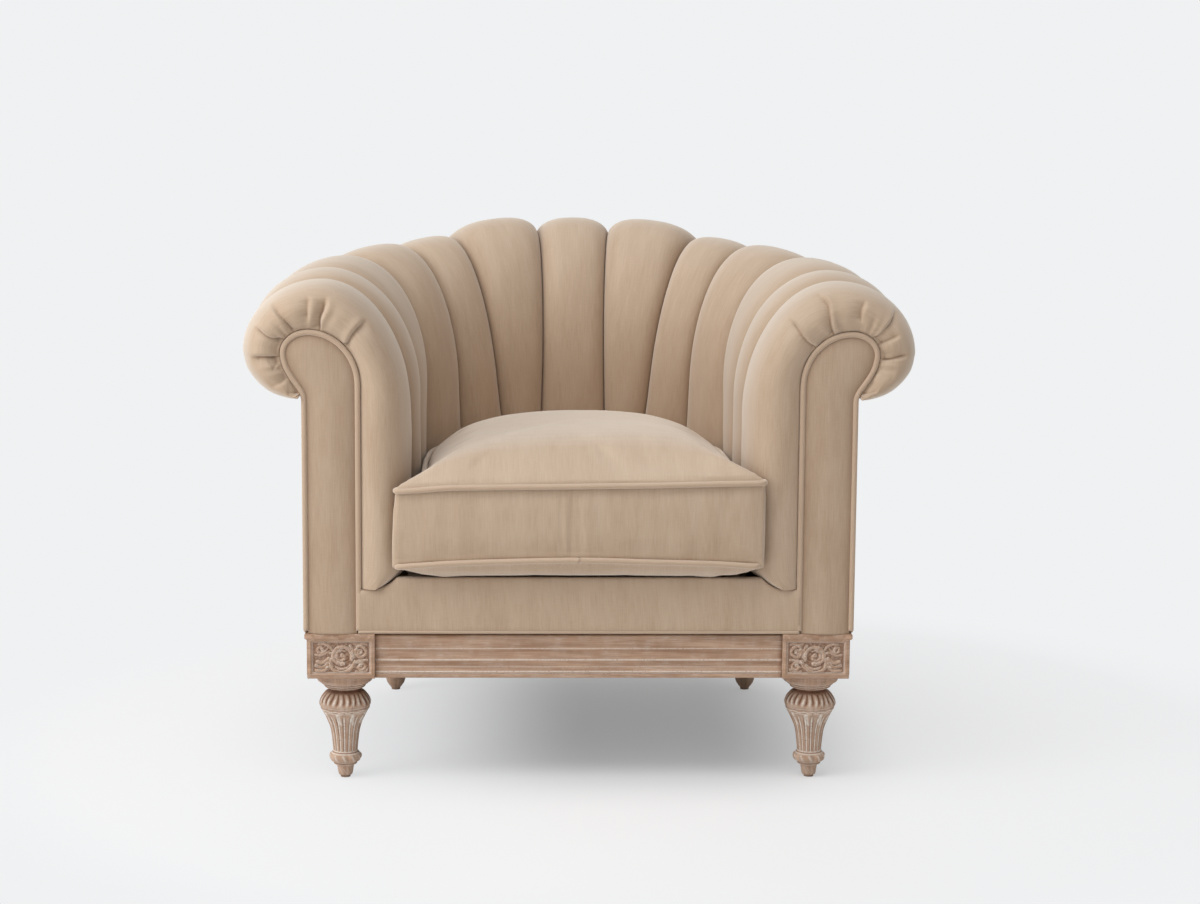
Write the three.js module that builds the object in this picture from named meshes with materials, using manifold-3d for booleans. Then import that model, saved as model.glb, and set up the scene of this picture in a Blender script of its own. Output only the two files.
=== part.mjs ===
// Scallop back armchair: thirteen padded channels roll over a timber frame and open out like a shell.
// x runs to the right, y to the back from the facing boards, z up from the floor, all in millimetres.
import * as THREE from "three";
import { mergeVertices } from "three/addons/utils/BufferGeometryUtils.js";
import Module from "manifold-3d";

const wasm = await Module();
wasm.setup();

// Running gap between upholstered pieces that touch, and the overrun of a cut
const GAP = 0.3;
const CUT_OVERRUN = 5;

// Seat well, on the valleys between the channels at seat level
const SEAT_HALF_WIDTH = 284;
const ARM_THICKNESS = 153;
const CREST_INSET = 21;
const SEAT_STRAIGHT = 330;
const SEAT_BEND_DEPTH = 270;
const seatRoundShare = 2.2;
const SEAM_START = 5;
const FRONT_PUFF_DEPTH = 160;
const SECOND_SEAM_DEPTH = 300;

// Crest line of the arms and back, on the same valleys
const CREST_HALF_WIDTH = SEAT_HALF_WIDTH + ARM_THICKNESS - CREST_INSET;
const CREST_STRAIGHT = 300;
const CREST_BEHIND_SEAT = 125;
const CREST_BEND_DEPTH = SEAT_STRAIGHT + SEAT_BEND_DEPTH + CREST_BEHIND_SEAT - CREST_STRAIGHT;
const crestRoundShare = 2.1;
const ARM_CREST_HEIGHT = 790;
const BACK_CREST_RISE = 67;

// Where the seams leave the arm and go round the back, as shares of the quarter turn
const seatTurnShares = [0.203, 0.512, 0.726, 0.89];
const crestTurnShares = [0.269, 0.491, 0.637, 0.909];
const outwardTurnShares = [0, 0, 0, 0.19, 0.49, 0.7, 0.93];
const crestRiseShares = [0, 0, 0.1, 0.25, 0.5, 0.76, 1];

// Channels: how far a lobe stands out of its seams, and how round it is
const CHANNEL_FULLNESS = 22;
const lobeRoundShare = 2.4;
const lobeFullShare = 0.6;
const crestFullnessShares = [1, 1, 1, 0.95, 0.6, 1.4, 1.1];
const seamGapShare = 0.003;
const railSeamShare = 0.001;
const bottomTuckShares = [0.6, 1, 1];

// Scroll over the arm and back: inner sweep, outer roll, and the tuck under the roll
const ARM_SWEEP_RISE = 190;
const BACK_SWEEP_RISE = 250;
const ROLL_OUT = 102;
const ROLL_DROP = 90;
const TUCK_OVERHANG = 15;
const TUCK_OUT = ARM_THICKNESS + TUCK_OVERHANG;
const TUCK_DROP = 73;
const tuckOutShares = [0.9, 0.6, 0.25, 0];
const tuckDropShares = [0.33, 0.67, 0.87, 1];
const tuckFullnessShares = [0.95, 0.75, 0.45, 0.1];
const BACK_NECK_SHIFT = 28;
const BACK_ROLL_EXTRA = 6;

// Scroll of the frame inside the padding, which the facing board and its piping follow
const CORE_FACE_OUT = 70;
const CORE_CENTRE_INSET = 5;
const CORE_NECK_OVERHANG = 1.7;
const CORE_CENTRE_OUT = ARM_THICKNESS - CORE_CENTRE_INSET;
const CORE_SWEEP_DROP = 140;
const CORE_CREST_DROP = 56;
const CORE_ROLL_OUT = 40;
const CORE_ROLL_DROP = 90;
const CORE_NECK_OUT = ARM_THICKNESS + CORE_NECK_OVERHANG;
const CORE_NECK_DROP = 67;
const coreNeckOutShares = [0.86, 0.55, 0.15, 0];
const coreNeckDropShares = [0.3, 0.58, 0.86, 1];

const FACE_STEPS = 3;
const SWEEP_STEPS = 5;
const ROLL_STEPS = 4;
const LOBE_STEPS = 6;
const SIDE_RAIL_STEPS = 6;
const BACK_RAIL_STEPS = 14;
const TOP_RAIL_STEPS = 10;
const REACH_STEPS = 40;

// Front puff: the first channel closes forward on the piping of the facing board
const PUFF_APEX_DEPTH = 80;
const PUFF_EDGE_DEPTH = 2;
const PUFF_EDGE_THICKNESS = 12;
const PUFF_FORWARD = 22;
const puffForwardShares = [0.3, 1];
const PUFF_STEPS = 5;

// Facing board and piping
const PIPING_RADIUS = 4.5;
const PIPING_CLEARANCE = 0.9;
const FACING_THICKNESS = 14;
const PIPING_SIDES = 6;

// Show-wood base
const BASE_HALF_WIDTH = SEAT_HALF_WIDTH + ARM_THICKNESS;
const BASE_STRAIGHT = 300;
const BASE_BEHIND_SEAT = 190;
const BASE_BEND_DEPTH = SEAT_STRAIGHT + SEAT_BEND_DEPTH + BASE_BEHIND_SEAT - BASE_STRAIGHT;
const baseRoundShare = 4;
const BASE_BOTTOM = 175;
const BASE_TOP = 249;
const RAIL_REVEAL = 4;
const RAIL_FACE_TOP = BASE_TOP - RAIL_REVEAL;
const RAIL_THICKNESS = 18;
const RAIL_SETBACK = 6;
const RAIL_TONGUE_SETBACK = 7;
const RAIL_FLUTE_DEPTH = 5;
const sideRailStartShare = 1;
const railFaceShares = [[0.5, 0], [0, 0.05], [0, 0.12], [1, 0.17], [1, 0.37], [0, 0.42], [0, 0.47], [1, 0.52],
  [1, 0.74], [0, 0.79], [0, 0.97], [0.4, 1]];
const BLOCK_WIDTH = 108.5;
const BLOCK_DEPTH = 108;
const BLOCK_LIP = 4;
const BLOCK_LIP_HEIGHT = 10;
const BLOCK_PANEL_WIDTH = 92;
const BLOCK_PANEL_HEIGHT = 54;
const BLOCK_PANEL_DEPTH = 3;
const BACK_BLOCK_HALF = 22;

// Legs
const FRONT_LEG_INSET = 57;
const FRONT_LEG_X = BASE_HALF_WIDTH - FRONT_LEG_INSET;
const FRONT_LEG_Y = 52;
const BACK_LEG_INSET = 110;
const BACK_LEG_X = BASE_HALF_WIDTH - BACK_LEG_INSET;
const BACK_LEG_FROM_BACK = 122;
const BACK_LEG_Y = BASE_STRAIGHT + BASE_BEND_DEPTH - BACK_LEG_FROM_BACK;
const GLIDE_HEIGHT = 3;
const GLIDE_RADIUS = 8;
const COLLAR_RADIUS = 45;
const BULB_RADIUS = 42;
const SHANK_TOP_RADIUS = 26;
const SHANK_RADIUS = 20;
const ANKLE_RING_RADIUS = 26;
const TOE_RADIUS = 14;
const TOE_END_RADIUS = 9.5;
const TOE_TOP = 24;
const ANKLE_BOTTOM = 29;
const ANKLE_TOP = 48;
const SHANK_TOP = 96;
const BULB_MIDDLE = 129;
const NECK_BOTTOM = 146;
const NECK_TOP = 153;
const BACK_LEG_TOP_RADIUS = 27;
const BACK_LEG_MIDDLE_RADIUS = 26;
const BACK_LEG_ANKLE_RADIUS = 18;
const BACK_LEG_END_RADIUS = 9.5;
const BACK_LEG_ANKLE = 20;
const BACK_LEG_MIDDLE = 110;
const BOLT_RADIUS = 4;
const BOLT_INTO_LEG = 35;
const BOLT_INTO_BLOCK = 45;
const LATHE_SIDES = 16;
const BOLT_SIDES = 8;

// Timber frame inside the upholstery
const FRAME_BOTTOM = BASE_TOP + GAP;
const SEAT_RAIL_HEIGHT = 52.7;
const SEAT_RAIL_TOP = FRAME_BOTTOM + SEAT_RAIL_HEIGHT;
const SEAT_RAIL_THICKNESS = 32;
const FRONT_RAIL_Y = 16.6;
const POST_CLEARANCE = 8;
const FRONT_POST_INNER = SEAT_HALF_WIDTH + CORE_FACE_OUT + POST_CLEARANCE;
const POST_INSET = 9;
const FRONT_POST_OUTER = BASE_HALF_WIDTH - POST_INSET;
const FRONT_POST_DEPTH = 36;
const SIDE_RAIL_STEP = 17;
const SIDE_RAIL_INNER = FRONT_POST_INNER - SIDE_RAIL_STEP;
const BACK_RAIL_FROM_BACK = 150;
const BACK_RAIL_Y = BASE_STRAIGHT + BASE_BEND_DEPTH - BACK_RAIL_FROM_BACK;
const BACK_RAIL_OVERLAP = 20;
const BACK_RAIL_HALF = SIDE_RAIL_INNER + BACK_RAIL_OVERLAP;
const BACK_POST_INSET = 49;
const BACK_POST_X = SEAT_HALF_WIDTH - BACK_POST_INSET;
const BACK_POST_WIDTH = 40;
const BACK_POST_DEPTH = 30;
const TOP_RAIL_DROP = 130;
const TOP_RAIL_CLEARANCE = 4.2;
const TOP_RAIL_EDGE = 4;
const railJointGapShare = 0.01;

// Sinuous springs
const SPRING_COUNT = 3;
const SPRING_SPACING = 150;
const SPRING_WIRE_RADIUS = 1.9;
const SPRING_AMPLITUDE = 24;
const SPRING_OVERLAP = 16;
const SPRING_WAVES = 8;
const SPRING_STEPS_PER_WAVE = 6;

// Deck, border and bottom cloth
const DECK_THICKNESS = 15.6;
const DECK_OUT = 60;
const DECK_FRONT = 18;
const BORDER_BACK = 16;
const BORDER_BULGE = 4;
const BORDER_EDGE_ROUND = 5;
const BOTTOM_CLOTH_THICKNESS = 2;
const BOTTOM_CLOTH_MARGIN = 4;
const SPRING_TOP = SEAT_RAIL_TOP + GAP + 2 * SPRING_WIRE_RADIUS;
const CHANNEL_BOTTOM = SPRING_TOP + GAP + DECK_THICKNESS + GAP;

// Outside covers
const COVER_THICKNESS = 5;
const COVER_OVERHANG = 3;
const COVER_OUT = ARM_THICKNESS + COVER_OVERHANG;
const COVER_PROUD = 2;
const COVER_TOP_DROP = 158.6;
const COVER_ROWS = 4;
const COVER_STEPS_PER_SEAM = 2;
const ARM_COVER_SEAMS = 3;
const TOP_RAIL_JOINT = 4;

// Seat cushion
const CUSHION_CLEARANCE = 3;
const CUSHION_FRONT = 44;
const CUSHION_FRONT_BOW = 5;
const CUSHION_EAR_OVERLAP = 14;
const CUSHION_EAR_HALF_WIDTH = SEAT_HALF_WIDTH + CUSHION_EAR_OVERLAP;
const CUSHION_EAR_BACK = 20;
const CUSHION_CORNER = 12;
const CUSHION_BELLY_DEPTH = 49.7;
const CUSHION_BOXING = 117;
const CUSHION_LOW_WELT = CHANNEL_BOTTOM + CUSHION_BELLY_DEPTH;
const CUSHION_TOP_WELT = CUSHION_LOW_WELT + CUSHION_BOXING;
const CUSHION_CROWN = 70;
const CUSHION_BELLY = 6;
const CUSHION_SIDE_DRAW = 3;
const crownRingShares = [0.94, 0.82, 0.62, 0.38, 0.14];
const crownHeightShares = [0.3, 0.6, 0.84, 0.96, 1];
const bellyRingShares = [0.62, 0.82, 0.94];
const bellyHeightShares = [1, 0.75, 0.35];
const CUSHION_EAR_STEPS = 4;
const CUSHION_STEPS_PER_SEAM = 2;

const colours = { cloth: 0xc7ad92, piping: 0xbfa58a, oak: 0xa98a6e, pine: 0xcdb083, steel: 0x8c8f92,
  pad: 0xe2dccd, blackCloth: 0x2c2b2a, glide: 0x3c3a38 };

function cloth(colour = colours.cloth) {
  return new THREE.MeshStandardMaterial({ color: colour, roughness: 0.92, metalness: 0 });
}

function timber(colour = colours.oak) {
  return new THREE.MeshStandardMaterial({ color: colour, roughness: 0.68, metalness: 0 });
}

function steel(colour = colours.steel) {
  return new THREE.MeshStandardMaterial({ color: colour, roughness: 0.4, metalness: 0.9 });
}

// A named mesh added to a group
function piece(group, name, geometry, material) {
  const mesh = new THREE.Mesh(geometry, material);
  mesh.name = name;
  group.add(mesh);
  return mesh;
}

// Geometry from points and triangles, turned to face out
function solidGeometry(points, triangles) {
  let volume = 0;
  const side = new THREE.Vector3();
  for (const [a, b, c] of triangles) {
    volume += side.crossVectors(points[b], points[c]).dot(points[a]);
  }
  const faces = volume < 0 ? triangles.map(([a, b, c]) => [a, c, b]) : triangles;
  const geometry = new THREE.BufferGeometry().setFromPoints(points);
  geometry.setIndex(faces.flat());
  geometry.computeVertexNormals();
  return geometry;
}

// Closed body through rings of points. A ring of two rows, out and back, is capped between its rows;
// a fan cap meets at the middle of its ring, and a joined loft closes on its first ring.
function loft(rings, { joined = false, fan = false } = {}) {
  const size = rings[0].length;
  const points = rings.flat();
  const triangles = [];
  const last = joined ? rings.length : rings.length - 1;
  for (let i = 0; i < last; i += 1) {
    const low = i * size;
    const high = ((i + 1) % rings.length) * size;
    for (let j = 0; j < size; j += 1) {
      const next = (j + 1) % size;
      triangles.push([low + j, low + next, high + next], [low + j, high + next, high + j]);
    }
  }
  if (!joined) {
    const cap = fan ? fanCap : rowCap;
    const top = (rings.length - 1) * size;
    for (const [x, y, z] of cap(points, 0, size)) triangles.push([x, z, y]);
    triangles.push(...cap(points, top, size));
  }
  return solidGeometry(points, triangles);
}

function rowCap(points, start, size) {
  const triangles = [];
  for (let i = 0; i < size / 2 - 1; i += 1) {
    const back = size - 1 - i;
    triangles.push([start + i, start + i + 1, start + back - 1], [start + i, start + back - 1, start + back]);
  }
  return triangles;
}

function fanCap(points, start, size) {
  const ring = points.slice(start, start + size);
  const middle = ring.reduce((sum, p) => sum.add(p), new THREE.Vector3()).divideScalar(size);
  const centre = points.push(middle) - 1;
  return ring.map((p, j) => [start + j, start + ((j + 1) % size), centre]);
}

// Shape from an outline without the points that lie on a straight run
function outlineShape(points) {
  const kept = points.filter((p, i) => {
    const before = points[(i + points.length - 1) % points.length];
    const after = points[(i + 1) % points.length];
    const turn = p.clone().sub(before).cross(after.clone().sub(p));
    return Math.abs(turn) > GAP * GAP;
  });
  return new THREE.Shape(kept);
}

// Point on a plan curve that runs straight back and then turns in on a superellipse
function bendPoint(halfWidth, straight, depth, roundness, turnShare) {
  const turn = (turnShare * Math.PI) / 2;
  const x = halfWidth * Math.cos(turn) ** (2 / roundness);
  const y = straight + depth * Math.sin(turn) ** (2 / roundness);
  return new THREE.Vector3(x, y, 0);
}

function mirrored(points) {
  return points.map((p) => p.clone().setX(-p.x)).reverse();
}

// Lines through the fourteen seams, from the right front round the back to the left front
function seamLine(halfWidth, straight, depth, roundness, turnShares) {
  const arm = [SEAM_START, FRONT_PUFF_DEPTH, SECOND_SEAM_DEPTH];
  const right = arm.map((y) => new THREE.Vector3(halfWidth, y, 0));
  for (const share of turnShares) right.push(bendPoint(halfWidth, straight, depth, roundness, share));
  return right;
}

const seatSeams = seamLine(SEAT_HALF_WIDTH, SEAT_STRAIGHT, SEAT_BEND_DEPTH, seatRoundShare, seatTurnShares);
const crestSeams = seamLine(CREST_HALF_WIDTH, CREST_STRAIGHT, CREST_BEND_DEPTH, crestRoundShare, crestTurnShares);
crestSeams.forEach((p, i) => p.setZ(ARM_CREST_HEIGHT + BACK_CREST_RISE * crestRiseShares[i]));
const turnSeams = outwardTurnShares.map((share, i) => new THREE.Vector3(share, crestRiseShares[i], 0));
const otherTurns = turnSeams.map((p) => new THREE.Vector3(2 - p.x, p.y, 0)).reverse();
const seatLine = new THREE.CatmullRomCurve3([...seatSeams, ...mirrored(seatSeams)]);
const crestLine = new THREE.CatmullRomCurve3([...crestSeams, ...mirrored(crestSeams)]);
const turnLine = new THREE.CatmullRomCurve3([...turnSeams, ...otherTurns]);
const SEAMS = seatSeams.length * 2;
const CENTRE_CHANNEL = seatSeams.length - 1;

// One upright section of the seat back or arm at seam number u, which may lie between two seams
function station(u) {
  const share = u / (SEAMS - 1);
  const foot = seatLine.getPoint(share);
  const crest = crestLine.getPoint(share);
  const turn = turnLine.getPoint(share);
  const angle = (turn.x * Math.PI) / 2;
  const outward = new THREE.Vector3(Math.cos(angle), Math.sin(angle), 0);
  const height = crest.z;
  const lean = crest.setZ(0).sub(foot);
  const reach = lean.dot(outward);
  lean.addScaledVector(outward, -reach);
  return { foot, outward, lean, reach, height, riseShare: turn.y };
}

// World point at a distance out from the seat valley and a height, at a station
function place(at, out, z) {
  const share = THREE.MathUtils.clamp(out / at.reach, 0, 1);
  return at.foot.clone().addScaledVector(at.outward, out).addScaledVector(at.lean, share).setZ(z);
}

function arcPoints(centre, radii, from, to, steps) {
  const points = [];
  for (let i = 0; i <= steps; i += 1) {
    const angle = from + ((to - from) * i) / steps;
    const normal = new THREE.Vector2(Math.cos(angle) / radii.x, Math.sin(angle) / radii.y).normalize();
    const point = new THREE.Vector2(centre.x + radii.x * Math.cos(angle), centre.y + radii.y * Math.sin(angle));
    points.push({ point, normal });
  }
  return points;
}

// Face, sweep and roll of a scroll as points with outward normals, in (out, z)
function scrollPoints(face, sweepCentre, sweepRadii, rollCentre, rollRadii) {
  const points = [];
  for (let i = 0; i < FACE_STEPS; i += 1) {
    const z = CHANNEL_BOTTOM + ((sweepCentre.y - CHANNEL_BOTTOM) * i) / FACE_STEPS;
    points.push({ point: new THREE.Vector2(face, z), normal: new THREE.Vector2(-1, 0) });
  }
  points.push(...arcPoints(sweepCentre, sweepRadii, Math.PI, Math.PI / 2, SWEEP_STEPS));
  points.push(...arcPoints(rollCentre, rollRadii, Math.PI / 2, 0, ROLL_STEPS).slice(1));
  return points;
}

// Points from the widest part of the roll in to its neck
function neckPoints(wide, neck, outShares, dropShares) {
  return outShares.map((share, i) => {
    const point = new THREE.Vector2(neck.x + (wide.x - neck.x) * share,
      wide.y + (neck.y - wide.y) * dropShares[i]);
    const normal = new THREE.Vector2(share, -dropShares[i]).normalize();
    return { point, normal };
  });
}

// Valley of the padding between two lobes
function valleyOutline(at) {
  const rise = ARM_SWEEP_RISE + (BACK_SWEEP_RISE - ARM_SWEEP_RISE) * at.riseShare;
  const rollOut = ROLL_OUT + BACK_ROLL_EXTRA * at.riseShare;
  const points = scrollPoints(0, new THREE.Vector2(at.reach, at.height - rise), new THREE.Vector2(at.reach, rise),
    new THREE.Vector2(at.reach, at.height - ROLL_DROP), new THREE.Vector2(rollOut, ROLL_DROP));
  const wide = new THREE.Vector2(at.reach + rollOut, at.height - ROLL_DROP);
  const neck = new THREE.Vector2(TUCK_OUT + BACK_NECK_SHIFT * at.riseShare, wide.y - TUCK_DROP);
  points.push(...neckPoints(wide, neck, tuckOutShares, tuckDropShares));
  return points;
}

// Outline of the frame under the padding
function coreOutline(at) {
  const shift = BACK_NECK_SHIFT * at.riseShare;
  const centre = CORE_CENTRE_OUT + shift;
  const sweepTop = at.height - CORE_CREST_DROP;
  const points = scrollPoints(CORE_FACE_OUT,
    new THREE.Vector2(centre, at.height - CORE_SWEEP_DROP),
    new THREE.Vector2(centre - CORE_FACE_OUT, CORE_SWEEP_DROP - CORE_CREST_DROP),
    new THREE.Vector2(centre, at.height - CORE_ROLL_DROP),
    new THREE.Vector2(CORE_ROLL_OUT, sweepTop - (at.height - CORE_ROLL_DROP)));
  const wide = new THREE.Vector2(centre + CORE_ROLL_OUT, at.height - CORE_ROLL_DROP);
  const neck = new THREE.Vector2(CORE_NECK_OUT + shift, wide.y - CORE_NECK_DROP);
  points.push(...neckPoints(wide, neck, coreNeckOutShares, coreNeckDropShares));
  return points;
}

function offsetOutline(outline, offset) {
  return outline.map(({ point, normal }, i) => {
    const distance = typeof offset === "number" ? offset : offset[i];
    return point.clone().addScaledVector(normal, distance);
  });
}

const PADDING_CLEAR = PIPING_RADIUS + PIPING_CLEARANCE;
const OUTLINE_SIZE = FACE_STEPS + SWEEP_STEPS + 1 + ROLL_STEPS + tuckOutShares.length;

// Padding inner line: clear of the piping, and square in at its last point
function innerLine(at) {
  const line = offsetOutline(coreOutline(at), PADDING_CLEAR);
  const last = line[line.length - 1];
  last.set(CORE_NECK_OUT + BACK_NECK_SHIFT * at.riseShare + PADDING_CLEAR, last.y + PADDING_CLEAR);
  return line;
}

// How full a lobe is at each point up its outline
function fullnessProfile(channel) {
  const crestShare = crestFullnessShares[Math.min(channel, SEAMS - 2 - channel)];
  const profile = [];
  for (let i = 0; i < OUTLINE_SIZE; i += 1) {
    const beyond = i - (FACE_STEPS + SWEEP_STEPS + ROLL_STEPS + 1);
    const nearCrest = 1 - Math.min(1, Math.abs(i - FACE_STEPS - SWEEP_STEPS) / SWEEP_STEPS);
    let share = 1 + (crestShare - 1) * nearCrest;
    if (i < bottomTuckShares.length) share = bottomTuckShares[i];
    if (beyond >= 0) share = tuckFullnessShares[beyond];
    profile.push(CHANNEL_FULLNESS * share);
  }
  return profile;
}

function lobe(t) {
  return (1 - Math.abs(2 * t - 1) ** lobeRoundShare) ** lobeFullShare;
}

// Ring of one section: outer line up and over, inner line back
function sectionRing(at, outer, inner) {
  return [...outer, ...inner.slice().reverse()].map((p) => place(at, p.x, p.y));
}

function channelGeometry(channel) {
  const fullness = fullnessProfile(channel);
  const rings = [];
  for (let i = 0; i <= LOBE_STEPS; i += 1) {
    const t = i / LOBE_STEPS;
    const u = channel + seamGapShare + (1 - 2 * seamGapShare) * t;
    const at = station(u);
    const outer = offsetOutline(valleyOutline(at), fullness.map((f) => f * lobe(t)));
    rings.push(sectionRing(at, outer, innerLine(at)));
  }
  return loft(rings);
}

// Plan of the front puff from the piping round to its fullest line: share across, depth
function puffCurve() {
  const [near, far] = puffForwardShares;
  return new THREE.CubicBezierCurve(
    new THREE.Vector2(0, PUFF_EDGE_DEPTH),
    new THREE.Vector2(near, -PUFF_FORWARD),
    new THREE.Vector2(far, -PUFF_FORWARD),
    new THREE.Vector2(1, PUFF_APEX_DEPTH));
}

function setDepth(ring, depths) {
  return ring.map((p, i) => p.setY(depths[i]));
}

function puffSection() {
  const at = station(0);
  const fullness = fullnessProfile(0);
  return { at, full: offsetOutline(valleyOutline(at), fullness), inner: innerLine(at), fullness };
}

// Front puff: rounds forward from the piping, then falls to the first seam
function frontPuffGeometry() {
  const { at, full, inner, fullness } = puffSection();
  const valley = valleyOutline(at);
  const curve = puffCurve();
  const rings = [];
  for (let i = 0; i <= PUFF_STEPS; i += 1) {
    const plan = curve.getPoint(i / PUFF_STEPS);
    const innerDepth = PUFF_EDGE_THICKNESS + PUFF_EDGE_DEPTH
      + ((PUFF_APEX_DEPTH - PUFF_EDGE_DEPTH - PUFF_EDGE_THICKNESS) * i) / PUFF_STEPS;
    const outer = full.map((p, k) => inner[k].clone().lerp(p, plan.x));
    const depths = [...outer.map(() => plan.y), ...inner.map(() => innerDepth)];
    rings.push(setDepth(sectionRing(at, outer, inner), depths));
  }
  const falling = LOBE_STEPS / 2;
  for (let i = 1; i <= falling; i += 1) {
    const t = i / falling;
    const depth = PUFF_APEX_DEPTH + (FRONT_PUFF_DEPTH - PUFF_APEX_DEPTH - GAP) * t;
    const share = lobe((1 + t) / 2);
    const outer = valley.map(({ point, normal }, k) => point.clone().addScaledVector(normal, fullness[k] * share));
    const ring = sectionRing(at, outer, inner);
    rings.push(setDepth(ring, ring.map(() => depth)));
  }
  return loft(rings);
}

// Path of the piping round the facing board, in (x, z)
function pipingOutline() {
  const at = station(0);
  const points = coreOutline(at).slice(1).map(({ point, normal }) => ({ point, normal }));
  const last = points[points.length - 1];
  const neckPoint = new THREE.Vector2(last.point.x - GAP, BASE_TOP + PADDING_CLEAR);
  const neck = { point: neckPoint, normal: new THREE.Vector2(1, 0) };
  const footPoint = new THREE.Vector2(CORE_FACE_OUT, BASE_TOP + PADDING_CLEAR);
  const foot = { point: footPoint, normal: new THREE.Vector2(-1, 0) };
  last.normal = new THREE.Vector2(1, 0);
  return [foot, ...points, neck].map(({ point, normal }) => ({
    point: point.clone().setX(point.x + SEAT_HALF_WIDTH), normal }));
}

function circleShape(radius, sides) {
  const points = [];
  for (let i = 0; i < sides; i += 1) {
    const angle = (2 * Math.PI * i) / sides;
    points.push(new THREE.Vector2(radius * Math.cos(angle), radius * Math.sin(angle)));
  }
  return new THREE.Shape(points);
}

function facingPipingGeometry() {
  const rings = pipingOutline().map(({ point, normal }) => {
    const ring = [];
    for (let k = 0; k < PIPING_SIDES; k += 1) {
      const angle = (2 * Math.PI * k) / PIPING_SIDES;
      const out = PIPING_RADIUS * Math.cos(angle);
      ring.push(new THREE.Vector3(point.x + normal.x * out, PIPING_RADIUS * Math.sin(angle),
        point.y + normal.y * out));
    }
    return ring;
  });
  return loft(rings, { fan: true });
}

function facingGeometry() {
  const outline = offsetOutline(pipingOutline(), -PADDING_CLEAR);
  const bottom = BASE_TOP + GAP;
  outline[0].y = bottom;
  outline[outline.length - 1].y = bottom;
  const settings = { depth: FACING_THICKNESS, bevelEnabled: false };
  const geometry = new THREE.ExtrudeGeometry(outlineShape(outline), settings);
  return geometry.rotateX(Math.PI / 2).translate(0, FACING_THICKNESS, 0);
}

// Upright board from a plan rectangle and two heights
function board(x0, x1, y0, y1, z0, z1) {
  const geometry = new THREE.BoxGeometry(x1 - x0, y1 - y0, z1 - z0);
  return geometry.translate((x0 + x1) / 2, (y0 + y1) / 2, (z0 + z1) / 2);
}

// Top rail section: the core scroll down to a level underside that the posts carry
function topRailRing(at, underside) {
  const outline = coreOutline(at).slice(FACE_STEPS, OUTLINE_SIZE - tuckOutShares.length + 1);
  const line = offsetOutline(outline, PADDING_CLEAR - TOP_RAIL_CLEARANCE);
  line[0].y = Math.max(line[0].y, underside + TOP_RAIL_EDGE);
  const corner = COVER_OUT + BACK_NECK_SHIFT * at.riseShare - 2 * COVER_THICKNESS;
  const section = [new THREE.Vector2(line[0].x, underside), ...line, new THREE.Vector2(corner, underside)];
  return sectionRing(at, section, []);
}

function topRailGeometry(from, to, steps, underside, startDepth) {
  const rings = [];
  for (let i = 0; i <= steps; i += 1) {
    const ring = topRailRing(station(from + ((to - from) * i) / steps), underside);
    if (i === 0 && startDepth) ring.forEach((p) => p.setY(startDepth));
    rings.push(ring);
  }
  return loft(rings, { fan: true });
}

// Distance from the seat valley out to the base outline at a station
function baseReach(at, inset = 0) {
  const halfWidth = BASE_HALF_WIDTH - inset;
  const depth = BASE_BEND_DEPTH - inset;
  let low = 0;
  let high = 2 * BASE_HALF_WIDTH;
  for (let i = 0; i < REACH_STEPS; i += 1) {
    const middle = (low + high) / 2;
    const p = at.foot.clone().add(at.lean).addScaledVector(at.outward, middle);
    const along = Math.max(0, p.y - BASE_STRAIGHT) / depth;
    const inside = (Math.abs(p.x) / halfWidth) ** baseRoundShare + along ** baseRoundShare < 1;
    if (inside) low = middle;
    else high = middle;
  }
  return low;
}

function coverGeometry(from, to) {
  const steps = Math.round((to - from) * COVER_STEPS_PER_SEAM);
  const rings = [];
  for (let i = 0; i <= steps; i += 1) {
    const at = station(from + ((to - from) * i) / steps);
    const foot = baseReach(at) + COVER_PROUD;
    const neck = COVER_OUT + BACK_NECK_SHIFT * at.riseShare;
    const top = at.height - COVER_TOP_DROP;
    const outer = [];
    for (let k = 0; k <= COVER_ROWS; k += 1) {
      const share = k / COVER_ROWS;
      const bend = Math.sin((share * Math.PI) / 2);
      outer.push(new THREE.Vector2(foot + (neck - foot) * bend, FRAME_BOTTOM + (top - FRAME_BOTTOM) * share));
    }
    const inner = outer.map((p) => new THREE.Vector2(p.x - COVER_THICKNESS, p.y));
    rings.push(sectionRing(at, outer, inner));
  }
  return loft(rings);
}

// Face of the base rail: two flutes between fillets, as (distance in from the face, height)
function railFace() {
  const height = RAIL_FACE_TOP - BASE_BOTTOM;
  const face = railFaceShares.map(([depthShare, heightShare]) => (
    [RAIL_FLUTE_DEPTH * depthShare, BASE_BOTTOM + height * heightShare]));
  return [...face, [RAIL_TONGUE_SETBACK, RAIL_FACE_TOP], [RAIL_TONGUE_SETBACK, BASE_TOP]];
}

// The face, and the straight back of the rail at the same heights
function railRows() {
  const face = railFace().map(([inward, z]) => new THREE.Vector2(inward, z));
  return [face, face.map((p) => new THREE.Vector2(RAIL_THICKNESS, p.y))];
}

function frontRailGeometry() {
  const half = BASE_HALF_WIDTH - BLOCK_WIDTH - GAP;
  const [face, back] = railRows();
  const rings = [-half, half].map((x) => [...face, ...back.slice().reverse()]
    .map((p) => new THREE.Vector3(x, RAIL_SETBACK + p.x, p.y)));
  return loft(rings);
}

// Rail that follows the base outline between two stations
function curvedRailGeometry(from, to, steps, startDepth) {
  const rings = [];
  for (let i = 0; i <= steps; i += 1) {
    const at = station(from + ((to - from) * i) / steps);
    const reach = baseReach(at) - RAIL_SETBACK;
    const rows = railRows().map((row) => row.map((p) => p.setX(reach - p.x)));
    const ring = sectionRing(at, ...rows);
    if (i === 0 && startDepth) ring.forEach((p) => p.setY(startDepth));
    rings.push(ring);
  }
  return loft(rings);
}

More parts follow.
